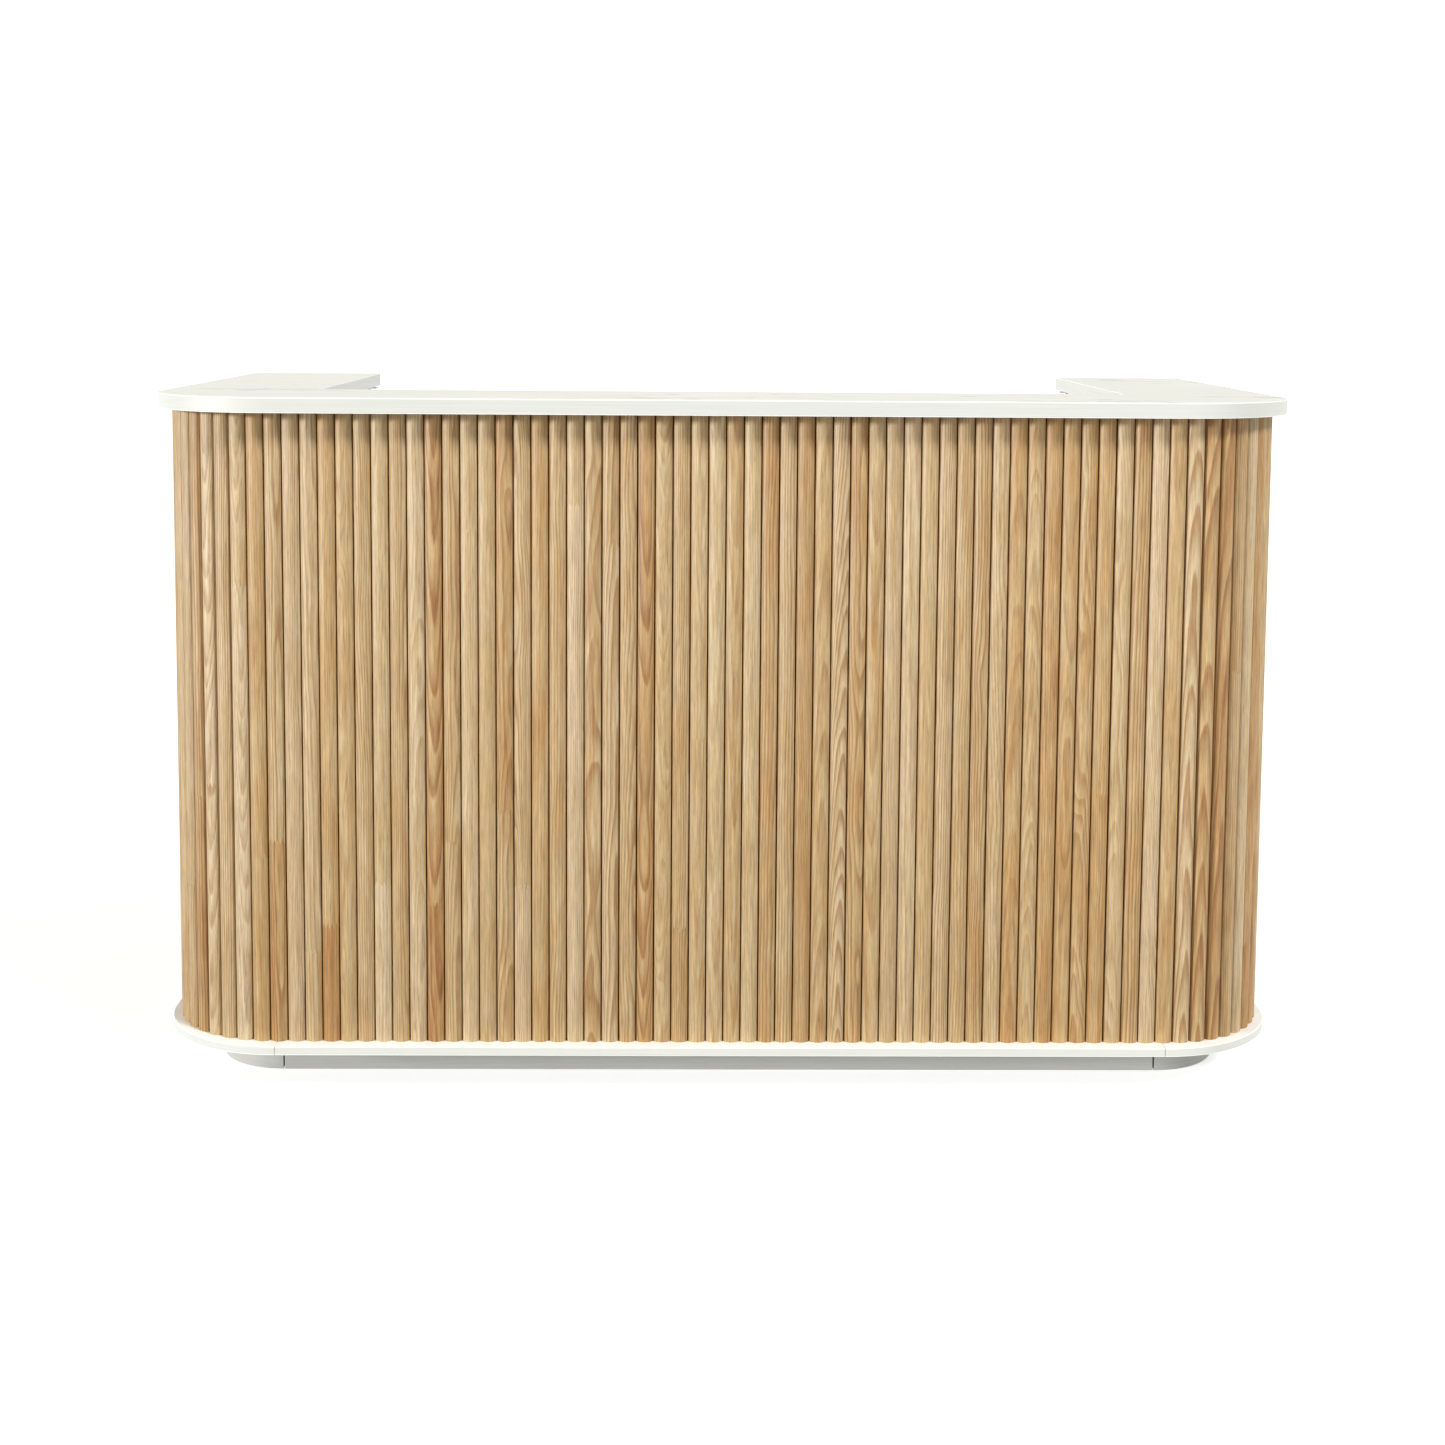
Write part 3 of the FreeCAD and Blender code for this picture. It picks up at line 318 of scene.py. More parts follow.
def board_face(name, light, dark, roughness, peel=0.03):
    """Coated board: even colour with faint clouding, pin-prick texture and a slight orange peel."""
    paint = Paint(name)
    place = paint.place()
    cloud = paint.noise(paint.scaled(place, (5.0, 5.0, 5.0)), detail=3.0)
    skin = paint.noise(paint.scaled(place, (420.0, 420.0, 420.0)), detail=2.0)
    colour = paint.blend(paint.span(cloud, 0.3, 0.7), light, dark)
    colour = paint.blend(paint.span(skin, 0.6, 0.8, 0.0, 0.35), colour, dark)
    rough = paint.span(skin, 0.3, 0.7, roughness - 0.04, roughness + 0.05)
    return paint.finish(colour, rough, paint.bump(skin, peel * MM))


def streaked_board(name, light, dark, stretch, roughness, bump=0.06):
    """Board with long fibres: plywood faces, raw rails and the plinth's brushed laminate."""
    paint = Paint(name)
    place = paint.place()
    fibre = paint.noise(paint.scaled(place, stretch), detail=4.0, roughness=0.65)
    cloud = paint.noise(paint.scaled(place, (6.0, 6.0, 9.0)), detail=3.0)
    colour = paint.blend(paint.span(fibre, 0.3, 0.72), light, dark)
    colour = paint.blend(paint.span(cloud, 0.35, 0.7, 0.0, 0.4), colour, dark)
    rough = paint.span(fibre, 0.2, 0.8, roughness - 0.05, roughness + 0.07)
    return paint.finish(colour, rough, paint.bump(fibre, bump * MM))


THREAD_PITCH = 1.2


def woven_canvas():
    """Cotton that backs the slats, woven at THREAD_PITCH millimetres; its dark brown is partly painted
    shade for the deep gaps between the slats.
    """
    paint = Paint("woven_canvas")
    place = paint.scaled(paint.place(), (1.0 / MM, 1.0 / MM, 1.0 / MM))
    x, y, z = paint.parts(place)
    along = paint.math("ADD", x, y)
    warp = paint.math("SINE", paint.math("MULTIPLY", along, math.tau / THREAD_PITCH))
    weft = paint.math("SINE", paint.math("MULTIPLY", z, math.tau / THREAD_PITCH))
    weave = paint.math("MULTIPLY", warp, weft)
    wear = paint.noise(paint.scaled(place, (0.02, 0.02, 0.02)), detail=3.0)
    # These browns are partly painted shade: darkened to stand for the shade in the gaps between the
    # slats.
    colour = paint.ramp(wear, [(0.3, rgb(96, 58, 14)), (0.7, rgb(112, 70, 18))])
    colour = paint.blend(paint.span(weave, -1.0, 1.0, 0.0, 0.4), colour, rgb(70, 42, 8))
    return paint.finish(colour, 0.95, paint.bump(weave, 0.15 * MM), Specular_IOR_Level=0.1)


def brushed_metal(name, colour, stretch, roughness, tarnish):
    """Metal with drawn lines and faint mottling."""
    paint = Paint(name)
    place = paint.place()
    lines = paint.noise(paint.scaled(place, stretch), detail=3.0, roughness=0.6)
    mottle = paint.noise(paint.scaled(place, (60.0, 60.0, 60.0)), detail=3.0)
    shade = paint.blend(paint.span(mottle, 0.35, 0.7, 0.0, 0.6), colour, tarnish)
    rough = paint.span(lines, 0.25, 0.75, roughness - 0.08, roughness + 0.1)
    return paint.finish(shade, rough, paint.bump(lines, 0.01 * MM), Metallic=1.0)


def moulded(name, colour, worn, roughness, grain=0.05):
    """Fine-grained moulded plastic or powder coat."""
    paint = Paint(name)
    place = paint.place()
    skin = paint.noise(paint.scaled(place, (1500.0, 1500.0, 1500.0)), detail=2.0)
    smear = paint.noise(paint.scaled(place, (25.0, 25.0, 25.0)), detail=3.0)
    shade = paint.blend(paint.span(smear, 0.4, 0.75, 0.0, 0.5), colour, worn)
    rough = paint.span(smear, 0.3, 0.7, roughness - 0.06, roughness + 0.06)
    return paint.finish(shade, rough, paint.bump(skin, grain * MM))


top_low, top_high = corners_of("worktop_edge_band")
plate_low, plate_high = corners_of("base_plate_front")

FINISHES = {
    "oak": oak_slat(),
    "stone_laminate": stone_laminate(),
    # The third colour of each banded edge is a painted highlight on its arrises and its top and bottom
    # faces.
    "edge_band": banded_edge(
        "edge_band", rgb(210, 211, 203), rgb(203, 204, 195), rgb(246, 246, 242),
        top_low.z, top_high.z, 1.8 * MM, 0.42,
    ),
    "plate_white": banded_edge(
        "plate_white", rgb(209, 210, 203), rgb(201, 202, 194), rgb(250, 249, 244),
        plate_low.z, plate_high.z, 1.6 * MM, 0.38,
    ),
    # The plinth's grey is darker than the pale board it really is: painted shade from the base plate's
    # overhang above it.
    "plinth_grey": streaked_board(
        "plinth_grey", rgb(186, 186, 181), rgb(177, 177, 170), (9.0, 9.0, 420.0), 0.5, 0.03
    ),
    "plinth_board": streaked_board(
        "plinth_board", rgb(196, 174, 140), rgb(170, 146, 110), (8.0, 8.0, 260.0), 0.75
    ),
    "canvas": woven_canvas(),
    "bent_ply": streaked_board(
        "bent_ply", rgb(214, 188, 148), rgb(190, 158, 114), (150.0, 150.0, 5.0), 0.6
    ),
    "melamine": board_face("melamine", rgb(236, 235, 230), rgb(229, 228, 221), 0.42),
    "drawer_board": board_face("drawer_board", rgb(226, 225, 219), rgb(216, 214, 206), 0.45),
    "zinc_steel": brushed_metal(
        "zinc_steel", rgb(198, 202, 206), (40.0, 900.0, 900.0), 0.34, rgb(170, 172, 170)
    ),
    "nickel": brushed_metal(
        "nickel", rgb(206, 202, 194), (900.0, 60.0, 900.0), 0.24, rgb(186, 180, 168)
    ),
    "handle_black": moulded("handle_black", rgb(34, 34, 35), rgb(52, 52, 52), 0.48),
    "grey_plastic": moulded("grey_plastic", rgb(120, 122, 124), rgb(138, 139, 139), 0.5),
}


# ---- meshes ------------------------------------------------------------------------------


FLAT_ANGLE = math.radians(32)
BEVEL_ANGLE = math.radians(40)
ARC_STEPS = 32
BOARD_EASE = 0.8 * MM
EDGE_EASE = 0.9 * MM
KICK_EASE = 1.2 * MM
RAIL_EASE = 0.5 * MM
PART_EASE = 0.25 * MM
WELD_DISTANCE = 0.002 * MM


def add_to_scene(name, data):
    thing = bpy.data.objects.new(name, data)
    bpy.context.scene.collection.objects.link(thing)
    return thing


def new_piece(name, vertices, faces, slot_name, body, nodes, smooth=True):
    """Makes a mesh piece that stands for its CAD nodes and rides on their body."""
    mesh = bpy.data.meshes.new(name)
    mesh.from_pydata([tuple(v) for v in vertices], [], faces)
    mesh.validate()
    mesh.update()
    piece = add_to_scene(name, mesh)
    mesh.materials.append(FINISHES[slot_name])
    for polygon in mesh.polygons:
        polygon.use_smooth = smooth
    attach(piece, body)
    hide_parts(*nodes)
    return piece


def keep_flats(piece):
    """Smooth shading that stays crisp over flat faces beside small bevels."""
    piece.data.set_sharp_from_angle(angle=FLAT_ANGLE)
    weighted = piece.modifiers.new("weighted", "WEIGHTED_NORMAL")
    weighted.keep_sharp = True


def outline(corners, inset=0.0):
    """Points of a closed anticlockwise outline of level and upright runs, moved in by an inset.

    Each corner is (x, y) or (x, y, radius), in metres.
    """
    count = len(corners)
    points = [Vector(c[:2]) for c in corners]
    ways = [(points[(i + 1) % count] - points[i]).normalized() for i in range(count)]
    loop = []
    for i, corner in enumerate(corners):
        way_in, way_out = ways[i - 1], ways[i]
        normal_in = Vector((-way_in.y, way_in.x))
        normal_out = Vector((-way_out.y, way_out.x))
        turns_left = way_in.cross(way_out) > 0
        tip = points[i] + (normal_in + normal_out) * inset
        if len(corner) == 2:
            loop.append(tip)
            continue
        radius = corner[2] - inset if turns_left else corner[2] + inset
        centre = tip + (way_out - way_in) * radius
        start = tip - way_in * radius - centre
        turn = math.pi / 2 if turns_left else -math.pi / 2
        for step in range(ARC_STEPS + 1):
            angle = turn * step / ARC_STEPS
            cosine, sine = math.cos(angle), math.sin(angle)
            across = start.x * cosine - start.y * sine
            along = start.x * sine + start.y * cosine
            loop.append(centre + Vector((across, along)))
    return loop


def easing(width):
    """Inset and rise of the rings that round an arris off."""
    turns = [math.radians(a) for a in (0, 30, 60, 90)]
    return [(width * (1 - math.sin(a)), width * (1 - math.cos(a))) for a in turns]


def eased_rings(bottom, top, ease):
    """Inset and height of the rings up a board whose arrises are eased."""
    rings = [(inset, bottom + rise) for inset, rise in easing(ease)]
    return rings + [(inset, top - rise) for inset, rise in reversed(easing(ease))]


def between_rings(low, high, count):
    """Faces joining two rings of points, whose numbers start at low and at high."""
    faces = []
    for i in range(count):
        j = (i + 1) % count
        faces.append((low + i, low + j, high + j, high + i))
    return faces


def stacked_rings(start, count, levels):
    """Faces of a closed solid made of rings one above the other, numbered from start."""
    last = start + (levels - 1) * count
    faces = []
    for low in range(start, last, count):
        faces += between_rings(low, low + count, count)
    faces.append(tuple(reversed(range(start, start + count))))
    faces.append(tuple(range(last, last + count)))
    return faces


def board(name, corners, bottom, top, slot_name, body, nodes, ease):
    """A level board cut to an outline, with its arrises eased."""
    vertices = []
    rings = eased_rings(bottom, top, ease)
    for inset, height in rings:
        vertices += [(*point, height) for point in outline(corners, inset)]
    faces = stacked_rings(0, len(vertices) // len(rings), len(rings))
    keep_flats(new_piece(name, vertices, faces, slot_name, body, nodes))


def eased_box(name, low, high, slot_name, body, nodes, ease):
    """A rectangular block between two corners, with its edges rounded."""
    shape = bmesh.new()
    bmesh.ops.create_cube(shape, size=1.0)
    sized = Matrix.Translation((low + high) / 2) @ Matrix.Diagonal((*(high - low), 1))
    bmesh.ops.transform(shape, matrix=sized, verts=shape.verts)
    rounding = {"offset": ease, "segments": 3, "profile": 0.5, "clamp_overlap": True}
    bmesh.ops.bevel(shape, geom=list(shape.edges), affect="EDGES", **rounding)
    shape.verts.index_update()
    vertices = [v.co.copy() for v in shape.verts]
    faces = [tuple(v.index for v in face.verts) for face in shape.faces]
    shape.free()
    keep_flats(new_piece(name, vertices, faces, slot_name, body, nodes))


def box_board(node, slot_name, body):
    """A rectangular board in a CAD node's place, with eased edges."""
    low, high = corners_of(node)
    eased_box(f"{node}_board", low, high, slot_name, body, [node], BOARD_EASE)


def dress(node, slot_name, ease):
    """Keeps a CAD node's own mesh, with its finish, and with eased edges unless ease is nought."""
    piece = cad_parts[node]
    piece.data.materials.clear()
    piece.data.materials.append(FINISHES[slot_name])
    weld = piece.modifiers.new("weld", "WELD")
    weld.merge_threshold = WELD_DISTANCE
    if ease:
        bevel = piece.modifiers.new("eased_edges", "BEVEL")
        bevel.width = ease
        bevel.segments = 2
        bevel.limit_method = "ANGLE"
        bevel.angle_limit = BEVEL_ANGLE
        bevel.harden_normals = True


# ---- worktop, plates and plinth ----------------------------------------------------------

HALF_WIDTH = top_high.x
FRONT = top_low.y
BACK = top_high.y
TOP_RADIUS = 204 * MM
WING_WIDTH = 240 * MM
LEDGE_DEPTH = 278 * MM
BAND = top_high.x - corners_of("worktop")[1].x


def counter_outline():
    """The worktop's U, anticlockwise from its left front corner."""
    inner_x = HALF_WIDTH - WING_WIDTH
    ledge = FRONT + LEDGE_DEPTH
    return [
        (-HALF_WIDTH, FRONT, TOP_RADIUS),
        (HALF_WIDTH, FRONT, TOP_RADIUS),
        (HALF_WIDTH, BACK),
        (inner_x, BACK),
        (inner_x, ledge),
        (-inner_x, ledge),
        (-inner_x, BACK),
        (-HALF_WIDTH, BACK),
    ]


def worktop():
    """The laminate U inside the edge band, flush with it above and below."""
    loop = outline(counter_outline(), BAND)
    vertices = [(*point, height) for height in (top_low.z, top_high.z) for point in loop]
    faces = stacked_rings(0, len(loop), 2)
    new_piece(
        "worktop_laminate", vertices, faces, "stone_laminate", "counter", ["worktop"], smooth=False
    )


def edge_band():
    """The band glued round the worktop, with rounded arrises."""
    outer = eased_rings(top_low.z, top_high.z, EDGE_EASE)
    rings = [(BAND, top_low.z), *outer, (BAND, top_high.z)]
    vertices = []
    for inset, height in rings:
        vertices += [(*point, height) for point in outline(counter_outline(), inset)]
    count = len(vertices) // len(rings)
    faces = []
    for level in range(len(rings)):
        above = (level + 1) % len(rings)
        faces += between_rings(level * count, above * count, count)
    piece = new_piece(
        "edge_band_strip", vertices, faces, "edge_band", "counter", ["worktop_edge_band"]
    )
    keep_flats(piece)


PLATE_RADIUS = TOP_RADIUS - (HALF_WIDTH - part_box("base_plate_right")[1][0])
PLATE_JOINT = 0.35 * MM
KNEE_PLATE_BACK = -330 * MM
KICK_RADIUS = 116 * MM
KICK_THICKNESS = 15 * MM
KICK_JOINT = 1.3 * MM
SIDES = (("left", -1), ("right", 1))


def mirrored(corners, side):
    """An outline on the right (side 1), or its mirror image on the left (side -1)."""
    if side > 0:
        return corners
    return [(-x, *rest) for x, *rest in reversed(corners)]


def middle_plate():
    """The front base plate, cut back between the pedestals to leave room for knees."""
    low, high = corners_of("base_plate_front")
    knee = corners_of("divider_right")[0].x
    low.x += PLATE_JOINT
    high.x -= PLATE_JOINT
    corners = [
        (low.x, low.y),
        (high.x, low.y),
        (high.x, high.y),
        (knee, high.y),
        (knee, KNEE_PLATE_BACK),
        (-knee, KNEE_PLATE_BACK),
        (-knee, high.y),
        (low.x, high.y),
    ]
    board(
        "plate_middle", corners, low.z, high.z,
        "plate_white", "counter", ["base_plate_front"], EDGE_EASE,
    )


def wing_plate(word, side):
    """The base plate under one wing, with its rounded front corner."""
    low, high = corners_of(f"base_plate_{word}")
    near, far = sorted((abs(low.x), abs(high.x)))
    near += PLATE_JOINT
    corners = [(near, low.y), (far, low.y, PLATE_RADIUS), (far, high.y), (near, high.y)]
    board(
        f"plate_{word}", mirrored(corners, side), low.z, high.z,
        "plate_white", "counter", [f"base_plate_{word}"], EDGE_EASE,
    )


def front_kick():
    """The straight toe kick, kept clear of its neighbours by the joints."""
    low, high = corners_of("plinth_front")
    gap = Vector((KICK_JOINT, 0, 0))
    eased_box(
        "plinth_front_board", low + gap, high - gap,
        "plinth_grey", "counter", ["plinth_front"], BOARD_EASE,
    )


def corner_kick(word, side):
    """The toe kick bent round one corner and back along its wing."""
    low, high = corners_of(f"plinth_{word}")
    near, far = sorted((abs(low.x), abs(high.x)))
    near += KICK_JOINT
    inside = far - KICK_THICKNESS
    corners = [
        (near, low.y),
        (far, low.y, KICK_RADIUS),
        (far, high.y),
        (inside, high.y),
        (inside, low.y + KICK_THICKNESS, KICK_RADIUS - KICK_THICKNESS),
        (near, low.y + KICK_THICKNESS),
    ]
    board(
        f"plinth_{word}_board", mirrored(corners, side), low.z, high.z,
        "plinth_grey", "counter", [f"plinth_{word}"], KICK_EASE,
    )


worktop()
edge_band()
middle_plate()
for word, side in SIDES:
    wing_plate(word, side)
front_kick()
for word, side in SIDES:
    corner_kick(word, side)


# ---- slats -------------------------------------------------------------------------------

BOW_STEPS = 18
SLAT_SHARP = math.radians(50)
SAME_LENGTH = 0.02 * MM
ROUNDING = 1e-9
SEEDS = {"slats_front": 41, "slats_left_wing": 42, "slats_right_wing": 43}


def islands(mesh):
    """The separate solids of a CAD mesh, each as a list of points."""
    owner = {}
    keys = [tuple(round(c, 6) for c in v.co) for v in mesh.vertices]

    def root(key):
        while owner.setdefault(key, key) != key:
            owner[key] = owner[owner[key]]
            key = owner[key]
        return key

    for polygon in mesh.polygons:
        first = root(keys[polygon.vertices[0]])
        for index in polygon.vertices[1:]:
            owner[root(keys[index])] = first
    solids = {}
    for key in sorted(set(keys)):
        solids.setdefault(root(key), []).append(Vector(key))
    return [solids[key] for key in sorted(solids)]


def back_edge(plan):
    """Middle and outward direction of a slat's flat back, in plan.

    The back is the chord that is a slat's width long and has all the rest on one side.
    """
    for i, left in enumerate(plan):
        for right in plan[i + 1:]:
            chord = right - left
            if abs(chord.length - 2 * SLAT_HALF * MM) > SAME_LENGTH:
                continue
            offsets = [chord.cross(p - left) / chord.length for p in plan]
            furthest = max(offsets, key=abs)
            if all(offset * furthest > -ROUNDING for offset in offsets):
                along = chord.normalized()
                out = Vector((-along.y, along.x)) * math.copysign(1.0, furthest)
                return (left + right) / 2, out
    raise ValueError("a slat has no flat back")


def slat_seats(node):
    """Middle of the back, outward direction, foot and head of each slat, in order along the wall."""
    seats = []
    for points in islands(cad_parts[node].data):
        plan = [Vector(p) for p in sorted({(round(p.x, 6), round(p.y, 6)) for p in points})]
        middle, out = back_edge(plan)
        seats.append((middle, out, min(p.z for p in points), max(p.z for p in points)))
    if node == "slats_front":
        return sorted(seats, key=lambda seat: seat[0].x)
    return sorted(seats, key=lambda seat: (round(abs(math.atan2(seat[1].x, -seat[1].y)), 2), seat[0].y))


def slat_section():
    """Points (across, proud) of a slat's section: side, eased shoulder, bow, shoulder, side."""
    bow_depth = SLAT_DEPTH - SLAT_SIDE
    radius = (SLAT_HALF ** 2 + bow_depth ** 2) / (2 * bow_depth)
    reach = math.asin(SLAT_HALF / radius)
    points = []
    for step in range(BOW_STEPS + 1):
        angle = reach * (2 * step / BOW_STEPS - 1)
        points.append((radius * math.sin(angle), SLAT_DEPTH - radius * (1 - math.cos(angle))))
    left, right = points[0], points[-1]
    ease = SHOULDER_EASE
    points[0] = (left[0] + 0.3 * ease, left[1] - 0.1 * ease)
    points[-1] = (right[0] - 0.3 * ease, right[1] - 0.1 * ease)
    start = [(left[0], 0.0), (left[0], left[1] - ease)]
    end = [(right[0], right[1] - ease), (right[0], 0.0)]
    return start + points + end


def slat_rings(height):
    """Shrinkage and height of the rings up a slat, with its ends eased."""
    foot = [(0.94, 0.0), (0.985, 0.25), (1.0, 0.8)]
    return foot + [(shrink, height - rise) for shrink, rise in reversed(foot)]


def lath_traits(source):
    """Chance traits of one slat: where its log lay, its tone and its joints.

    Most slats are cut beside the pith and show straight grain; some are cut in front of it, and
    lean, so that their rings show as arches.
    """
    if source.random() < 0.22:
        angle = -math.pi / 2 + source.gauss(0, 0.35)
        distance = source.uniform(25, 70)
        lean = source.choice((-1, 1)) * source.uniform(0.012, 0.045)
    else:
        angle = source.choice((0, math.pi)) + source.gauss(0, 0.5)
        distance = source.uniform(60, 160)
        lean = source.gauss(0, 0.012)
    return {
        "pith": (-distance * math.cos(angle), -distance * math.sin(angle)),
        "lean": (source.gauss(0, 0.006), lean),
        "spacing": source.uniform(0.6, 1.4),
        "start": source.uniform(0, 5000),
        "tone": min(0.72, max(0.1, source.gauss(0.42, 0.19))),
        "contrast": source.choice((0.3, 0.42, 0.54, 0.66, 0.78)),
        "splice": source.uniform(120, 900) if source.random() < 0.3 else -500.0,
        "splice_tone": source.uniform(-0.35, 0.35),
        "seed": source.random(),
    }


def slats(node, seed):
    """All slats of one stretch of the wall, in one piece, with the attributes oak_slat reads."""
    source = random.Random(seed)
    vertices, faces = [], []
    log, lath, tint, splice = [], [], [], []
    section = slat_section()
    for middle, out, bottom, top in slat_seats(node):
        traits = lath_traits(source)
        along = Vector((-out.y, out.x))
        rings = slat_rings((top - bottom) / MM)
        faces += stacked_rings(len(vertices), len(section), len(rings))
        for shrink, height in rings:
            for section_across, section_proud in section:
                across = section_across * shrink
                proud = section_proud * shrink
                spot = middle + (along * across + out * proud) * MM
                vertices.append((spot.x, spot.y, bottom + height * MM))
                leant_x = across + traits["pith"][0] + traits["lean"][0] * height
                leant_y = proud + traits["pith"][1] + traits["lean"][1] * height
                log.append((leant_x, leant_y, height + traits["start"]))
                lath.append((across / SLAT_HALF, height, traits["seed"]))
                tint.append((traits["tone"], traits["contrast"], traits["spacing"]))
                splice.append((traits["splice"], traits["splice_tone"], 0.0))
    piece = new_piece(f"{node}_oak", vertices, faces, "oak", "counter", [node])
    for name, values in (("log", log), ("lath", lath), ("tint", tint), ("splice", splice)):
        layer = piece.data.attributes.new(name, "FLOAT_VECTOR", "POINT")
        layer.data.foreach_set("vector", [part for value in values for part in value])
    piece.data.set_sharp_from_angle(angle=SLAT_SHARP)


for node, seed in SEEDS.items():
    slats(node, seed)


# ---- carcass -----------------------------------------------------------------------------

HIDDEN_SHEETS = {
    "canvas": ("slat_canvas_left", "slat_canvas_right"),
    "bent_ply": ("wing_shell_left", "wing_shell_right", "corner_ribs"),
}

SHAPED_PARTS = {
    "melamine": (
        "wing_gable_left",
        "wing_gable_right",
        "pedestal_gable_left",
        "pedestal_gable_right",
        "divider_left",
        "divider_right",
        "ledge_gables",
        "shelves_left",
        "shelves_right",
        "drawer_front",
    ),
    "stone_laminate": ("work_shelf",),
    "grey_plastic": ("cable_grommet", "catch_magnet"),
    "handle_black": ("drawer_handle", "door_handle"),
    "nickel": (
        "shelf_pins",
        "drawer_lock_body",
        "drawer_lock_core",
        "hinge_leaves_cabinet",
        "hinge_leaves_door",
        "hinge_pins",
    ),
    "zinc_steel": (
        "module_bolts",
        "worktop_brackets",
        "bracket_screws",
        "runners_cabinet",
        "runner_middle_left",
        "runner_middle_right",
        "runners_drawer",
        "drawer_lock_cam",
        "drawer_lock_strike",
        "catch_plate",
    ),
}

BOX_BOARDS = (
    ("front_panel", "bent_ply", "counter"),
    ("wing_end_panel_left", "melamine", "counter"),
    ("wing_end_panel_right", "melamine", "counter"),
    ("ledge_shelf", "melamine", "counter"),
    ("pedestal_rail", "melamine", "counter"),
    ("drawer_bottom", "drawer_board", "drawer"),
    ("drawer_side_left", "drawer_board", "drawer"),
    ("drawer_side_right", "drawer_board", "drawer"),
    ("drawer_back", "drawer_board", "drawer"),
    ("drawer_box_front", "drawer_board", "drawer"),
    ("cupboard_door", "melamine", "door"),
)

dress("plinth_rails", "plinth_board", RAIL_EASE)
for slot_name, nodes in HIDDEN_SHEETS.items():
    for node in nodes:
        dress(node, slot_name, 0)
for slot_name, nodes in SHAPED_PARTS.items():
    for node in nodes:
        dress(node, slot_name, PART_EASE)
for node, slot_name, body in BOX_BOARDS:
    box_board(node, slot_name, body)


# ---- studio ------------------------------------------------------------------------------

FLOOR_REACH = 60.0
FLOOR_GLOW = 0.53

# Brightness of the surroundings against the height of the direction, from -1 to 1.
SKY = [(-1.0, 0.35), (-0.06, 0.35), (-0.03, 1.0), (0.14, 1.0), (0.2, 0.42), (1.0, 0.42)]
SKY_STRENGTH = 1.03

# Name, strength, spread in degrees and direction of each parallel light.
KEYS = (
    ("left_key", 2.85, 8, (-0.88, -0.47, 0.175)),
    ("right_key", 2.48, 14, (0.74, -0.67, 0.93)),
)

# Name, side and power of each corner light, and where they stand from the corners.
FILLS = (
    ("left_fill", -1, 1.2),
    ("right_fill", 1, 2.6),
)
FILL_AWAY = Vector((0.7, -0.8, 0.0))
FILL_HEIGHT = 0.5
FILL_SIZE = 0.6

CAMERA_PLACE = (-0.0481, -3.7051, 1.2532)
CAMERA_YAW = 0.01369
CAMERA_PITCH = 0.09369
CAMERA_ROLL = 0.0069
CAMERA_SENSOR = 36
CAMERA_LENS = 53.27
CAMERA_SHIFT = -0.1592


def studio_floor():
    """A pale floor that glows a little, so that only contact shadows show on it."""
    near, far = -FLOOR_REACH, FLOOR_REACH
    corners = [(near, near, 0), (far, near, 0), (far, far, 0), (near, far, 0)]
    mesh = bpy.data.meshes.new("studio_floor")
    mesh.from_pydata(corners, [], [(0, 1, 2, 3)])
    floor = add_to_scene("studio_floor", mesh)
    paint = Paint("studio_floor")
    colour = paint.blend(paint.noise(paint.place(), detail=1.0), grey(0.8), grey(0.81))
    glow = {"Emission_Color": opaque(grey(1.0)), "Emission_Strength": FLOOR_GLOW}
    mesh.materials.append(paint.finish(colour, 0.9, Specular_IOR_Level=0.0, **glow))
    floor.visible_diffuse = False


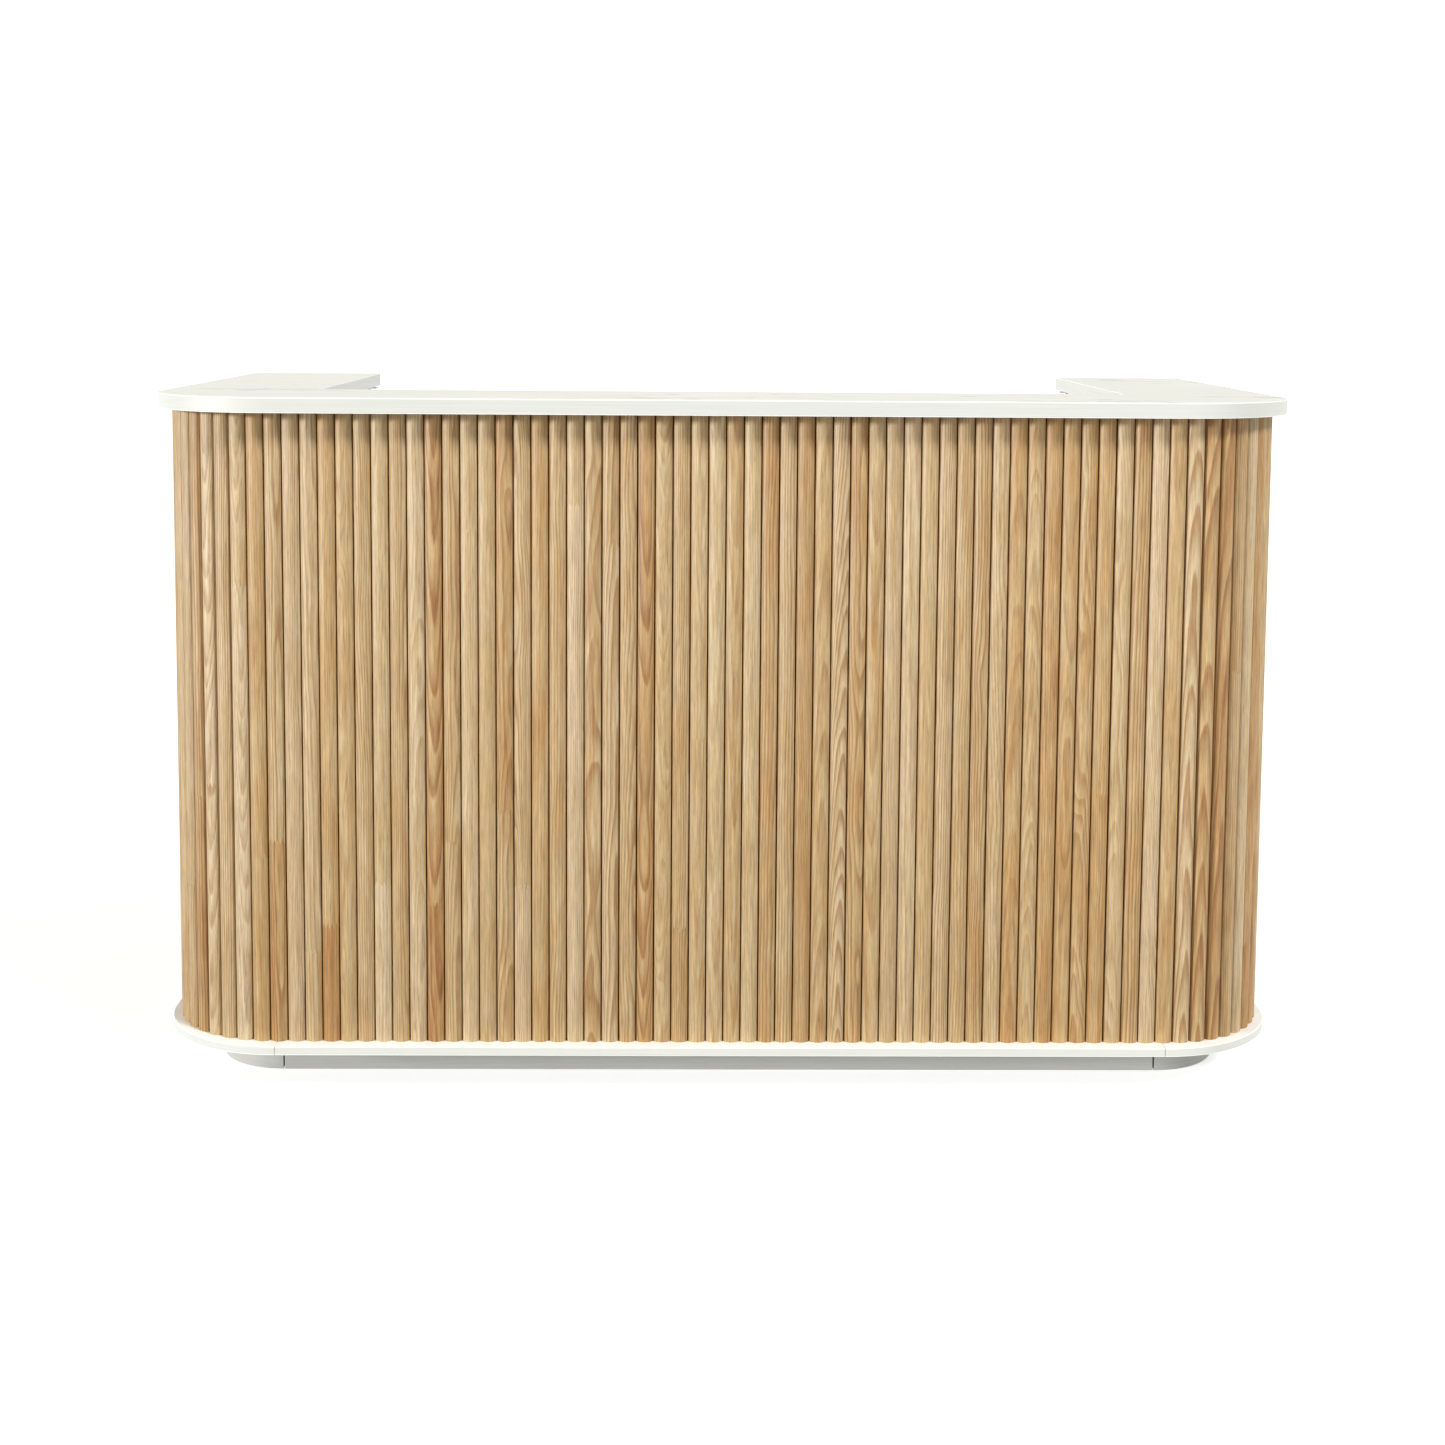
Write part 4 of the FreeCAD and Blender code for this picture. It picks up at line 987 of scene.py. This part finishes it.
def sky():
    """Soft surroundings, white along the horizon."""
    world = bpy.data.worlds.new("studio")
    bpy.context.scene.world = world
    world.use_nodes = True
    tree = world.node_tree
    tree.nodes.clear()
    direction = tree.nodes.new("ShaderNodeTexCoord")
    split = tree.nodes.new("ShaderNodeSeparateXYZ")
    level = tree.nodes.new("ShaderNodeMapRange")
    ramp = tree.nodes.new("ShaderNodeValToRGB")
    background = tree.nodes.new("ShaderNodeBackground")
    output = tree.nodes.new("ShaderNodeOutputWorld")
    tree.links.new(direction.outputs["Generated"], split.inputs[0])
    tree.links.new(split.outputs[2], level.inputs[0])
    tree.links.new(level.outputs[0], ramp.inputs[0])
    tree.links.new(ramp.outputs[0], background.inputs["Color"])
    tree.links.new(background.outputs[0], output.inputs[0])
    level.inputs[1].default_value = -1.0
    background.inputs["Strength"].default_value = SKY_STRENGTH
    elements = ramp.color_ramp.elements
    while len(elements) < len(SKY):
        elements.new(0.5)
    for element, (height, brightness) in zip(elements, SKY):
        element.position = (height + 1) / 2
        element.color = opaque(grey(brightness))


def key_light(name, strength, spread, towards):
    """A parallel light, softened by its spread in degrees, that comes from a direction."""
    lamp = bpy.data.lights.new(name, "SUN")
    lamp.energy = strength
    lamp.angle = math.radians(spread)
    light = add_to_scene(name, lamp)
    light.rotation_euler = Vector(towards).to_track_quat("Z", "Y").to_euler()


def corner_fill(name, side, power):
    """A soft light low down beside the left (side -1) or right (side 1) front corner."""
    lamp = bpy.data.lights.new(name, "AREA")
    lamp.energy = power
    lamp.size = FILL_SIZE
    light = add_to_scene(name, lamp)
    away = FILL_AWAY * Vector((side, 1, 1))
    light.location = Vector((side * HALF_WIDTH, FRONT, FILL_HEIGHT)) + away
    light.rotation_euler = away.to_track_quat("Z", "Y").to_euler()


def photo_camera():
    """Camera at the photograph's viewing angle, slightly above the worktop's front edge."""
    yaw, pitch, roll = CAMERA_YAW, CAMERA_PITCH, CAMERA_ROLL
    level = Vector((math.sin(yaw), math.cos(yaw), 0))
    look = level * math.cos(pitch) - Vector((0, 0, math.sin(pitch)))
    right = Vector((math.cos(yaw), -math.sin(yaw), 0))
    up = right.cross(look)
    turned_right = right * math.cos(roll) + up * math.sin(roll)
    turned_up = up * math.cos(roll) - right * math.sin(roll)
    lens = bpy.data.cameras.new("camera")
    lens.sensor_width = CAMERA_SENSOR
    lens.lens = CAMERA_LENS
    lens.shift_y = CAMERA_SHIFT
    lens.clip_end = 200
    camera = add_to_scene("camera", lens)
    turn = Matrix((turned_right, turned_up, -look)).transposed()
    camera.matrix_world = Matrix.Translation(CAMERA_PLACE) @ turn.to_4x4()
    bpy.context.scene.camera = camera


studio_floor()
sky()
for key in KEYS:
    key_light(*key)
for fill in FILLS:
    corner_fill(*fill)
photo_camera()
bpy.context.scene.view_settings.view_transform = "Standard"
